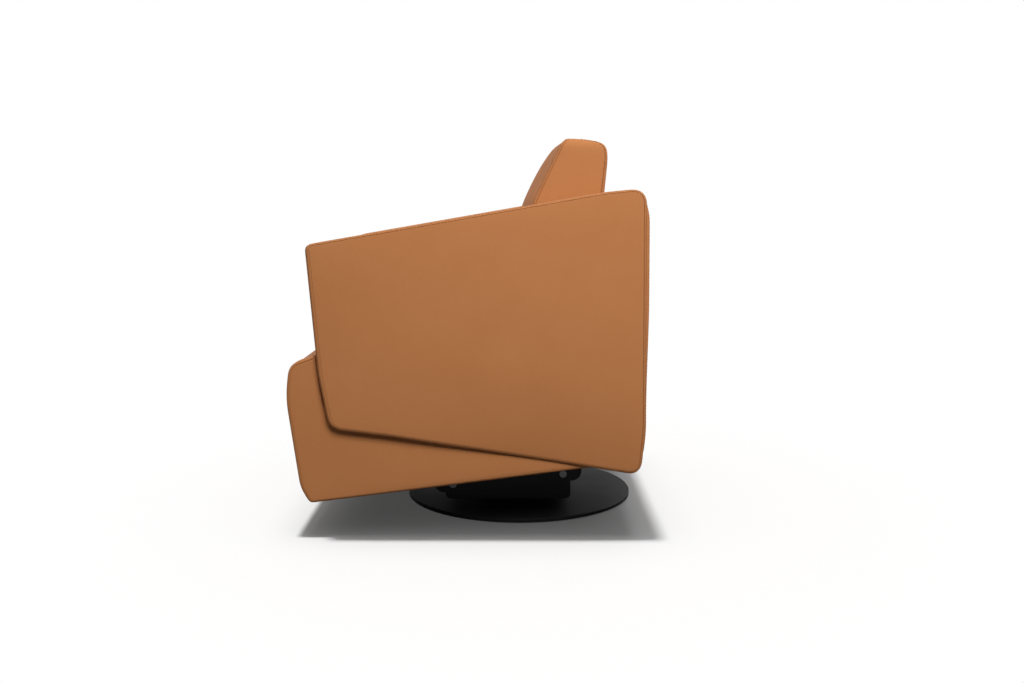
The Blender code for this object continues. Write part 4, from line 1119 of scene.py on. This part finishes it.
studio = {
    "floorSun": (3.9, 3.4, 3.3),  # power, spread and lean of the three suns
    "floorHaze": (0.95, 24.0, 0.0),
    "topSun": (0.22, 25.0, 0.0),
    "zenith": 0.60, "horizon": 0.035, "haze": 0.25,
    "lamps": [  # place, size and power of the soft lamps round the chair
        ((2.4, 0.6, 2.4), 1.3, 102.0),
        ((-1.8, 2.3, 2.3), 1.8, 70.0),
        ((0.4, -2.9, 1.2), 1.8, 12.0),
        ((-2.4, -1.8, 1.6), 1.8, 36.0),
    ],
    "floorBounce": 0.07, "floorPale": 0.48, "floorGlow": 0.058,
    "floorSize": 120.0, "clear": (0.80, 1.20),  # the floor turns white between these distances
    "aim": (0, 0, 0.4), "sunPlace": (0, 0, 3),
}
camera = {"place": (2.5, 0.0, 0.7013), "pitch": 7.5, "lens": 36.55, "sensor": 36, "shiftX": -0.0068}
white = (1, 1, 1, 1)


def seenRays(tree):
    # what the camera sees directly, in a reflection or through glass
    rays = put(tree, "LightPath").outputs
    first = maths(tree, "MAXIMUM", rays["Is Camera Ray"], rays["Is Glossy Ray"])
    return maths(tree, "MAXIMUM", first, rays["Is Transmission Ray"])


def setWorld():
    world = bpy.data.worlds.new("studioDome")
    scene.world = world
    world.use_nodes = True
    tree = world.node_tree
    tree.nodes.clear()
    up = put(tree, "SeparateXYZ", {0: put(tree, "TexCoord").outputs["Generated"]}).outputs["Z"]
    sky = remap(tree, up, studio["haze"], 1.0, studio["horizon"], studio["zenith"])
    soft = put(tree, "Background", {"Color": white, "Strength": sky}).outputs[0]
    bright = put(tree, "Background", {"Color": white, "Strength": 1.0}).outputs[0]
    mixed = put(tree, "MixShader", {0: seenRays(tree), 1: soft, 2: bright}).outputs[0]
    put(tree, "OutputWorld", {"Surface": mixed})


def grey(level):
    return (level, level, level, 1)


def setFloor():
    bm = bmesh.new()
    bmesh.ops.create_grid(bm, x_segments=2, y_segments=2, size=studio["floorSize"] / 2)
    material = bpy.data.materials.new("paleFloor")
    material.use_nodes = True
    tree = material.node_tree
    tree.nodes.clear()
    tone = mixColours(tree, seenRays(tree), grey(studio["floorBounce"]), grey(studio["floorPale"]))
    glow = maths(tree, "MULTIPLY", seenRays(tree), studio["floorGlow"])
    faint = put(tree, "Emission", {"Color": white, "Strength": glow}).outputs[0]
    matt = put(tree, "BsdfDiffuse", {"Color": tone}).outputs[0]
    lit = put(tree, "AddShader", {0: matt, 1: faint}).outputs[0]
    bright = put(tree, "Emission", {"Color": white, "Strength": 1.0}).outputs[0]
    place = put(tree, "TexCoord").outputs["Object"]
    away = put(tree, "VectorMath", {0: place}, operation="LENGTH").outputs["Value"]
    clear = remap(tree, away, *studio["clear"])
    share = maths(tree, "MULTIPLY", clear, seenRays(tree))
    mixed = put(tree, "MixShader", {0: share, 1: lit, 2: bright}).outputs[0]
    put(tree, "OutputMaterial", {"Surface": mixed})
    floor = finishMesh("paleFloor", bm, material)
    return floor


def addLamps(floor):
    # the floor takes two suns of its own and none of the lamps, so its shadow is deep
    # and the chair's light stays plain; the top sun lights both
    floorAlone = bpy.data.collections.new("floorAlone")
    floorAlone.objects.link(floor)
    spared = bpy.data.collections.new("floorSpared")
    spared.objects.link(floor)
    spared.collection_objects[0].light_linking.link_state = "EXCLUDE"
    for number, (place, size, power) in enumerate(studio["lamps"]):
        lamp = bpy.data.lights.new("lamp" + str(number), "AREA")
        lamp.shape = "SQUARE"
        lamp.size = size
        turn = (Vector(studio["aim"]) - Vector(place)).to_track_quat("-Z", "Y").to_euler()
        hang(lamp, power, place, turn, spared)
    for name, receivers in (("floorSun", floorAlone), ("floorHaze", floorAlone), ("topSun", None)):
        power, spread, lean = studio[name]
        lamp = bpy.data.lights.new(name, "SUN")
        lamp.angle = math.radians(spread)
        hang(lamp, power, studio["sunPlace"], (math.radians(lean), 0, 0), receivers)


def hang(lamp, power, place, turn, receivers):
    lamp.energy = power
    holder = bpy.data.objects.new(lamp.name, lamp)
    holder.location = place
    holder.rotation_euler = turn
    holder.light_linking.receiver_collection = receivers
    scene.collection.objects.link(holder)


def setCamera():
    data = bpy.data.cameras.new("sideCamera")
    data.sensor_width = camera["sensor"]
    data.lens = camera["lens"]
    data.shift_x = camera["shiftX"]
    holder = bpy.data.objects.new("sideCamera", data)
    holder.location = camera["place"]
    holder.rotation_euler = (math.radians(90 - camera["pitch"]), 0, math.radians(90))
    scene.collection.objects.link(holder)
    scene.camera = holder


setWorld()
addLamps(setFloor())
setCamera()
print("studio ready")
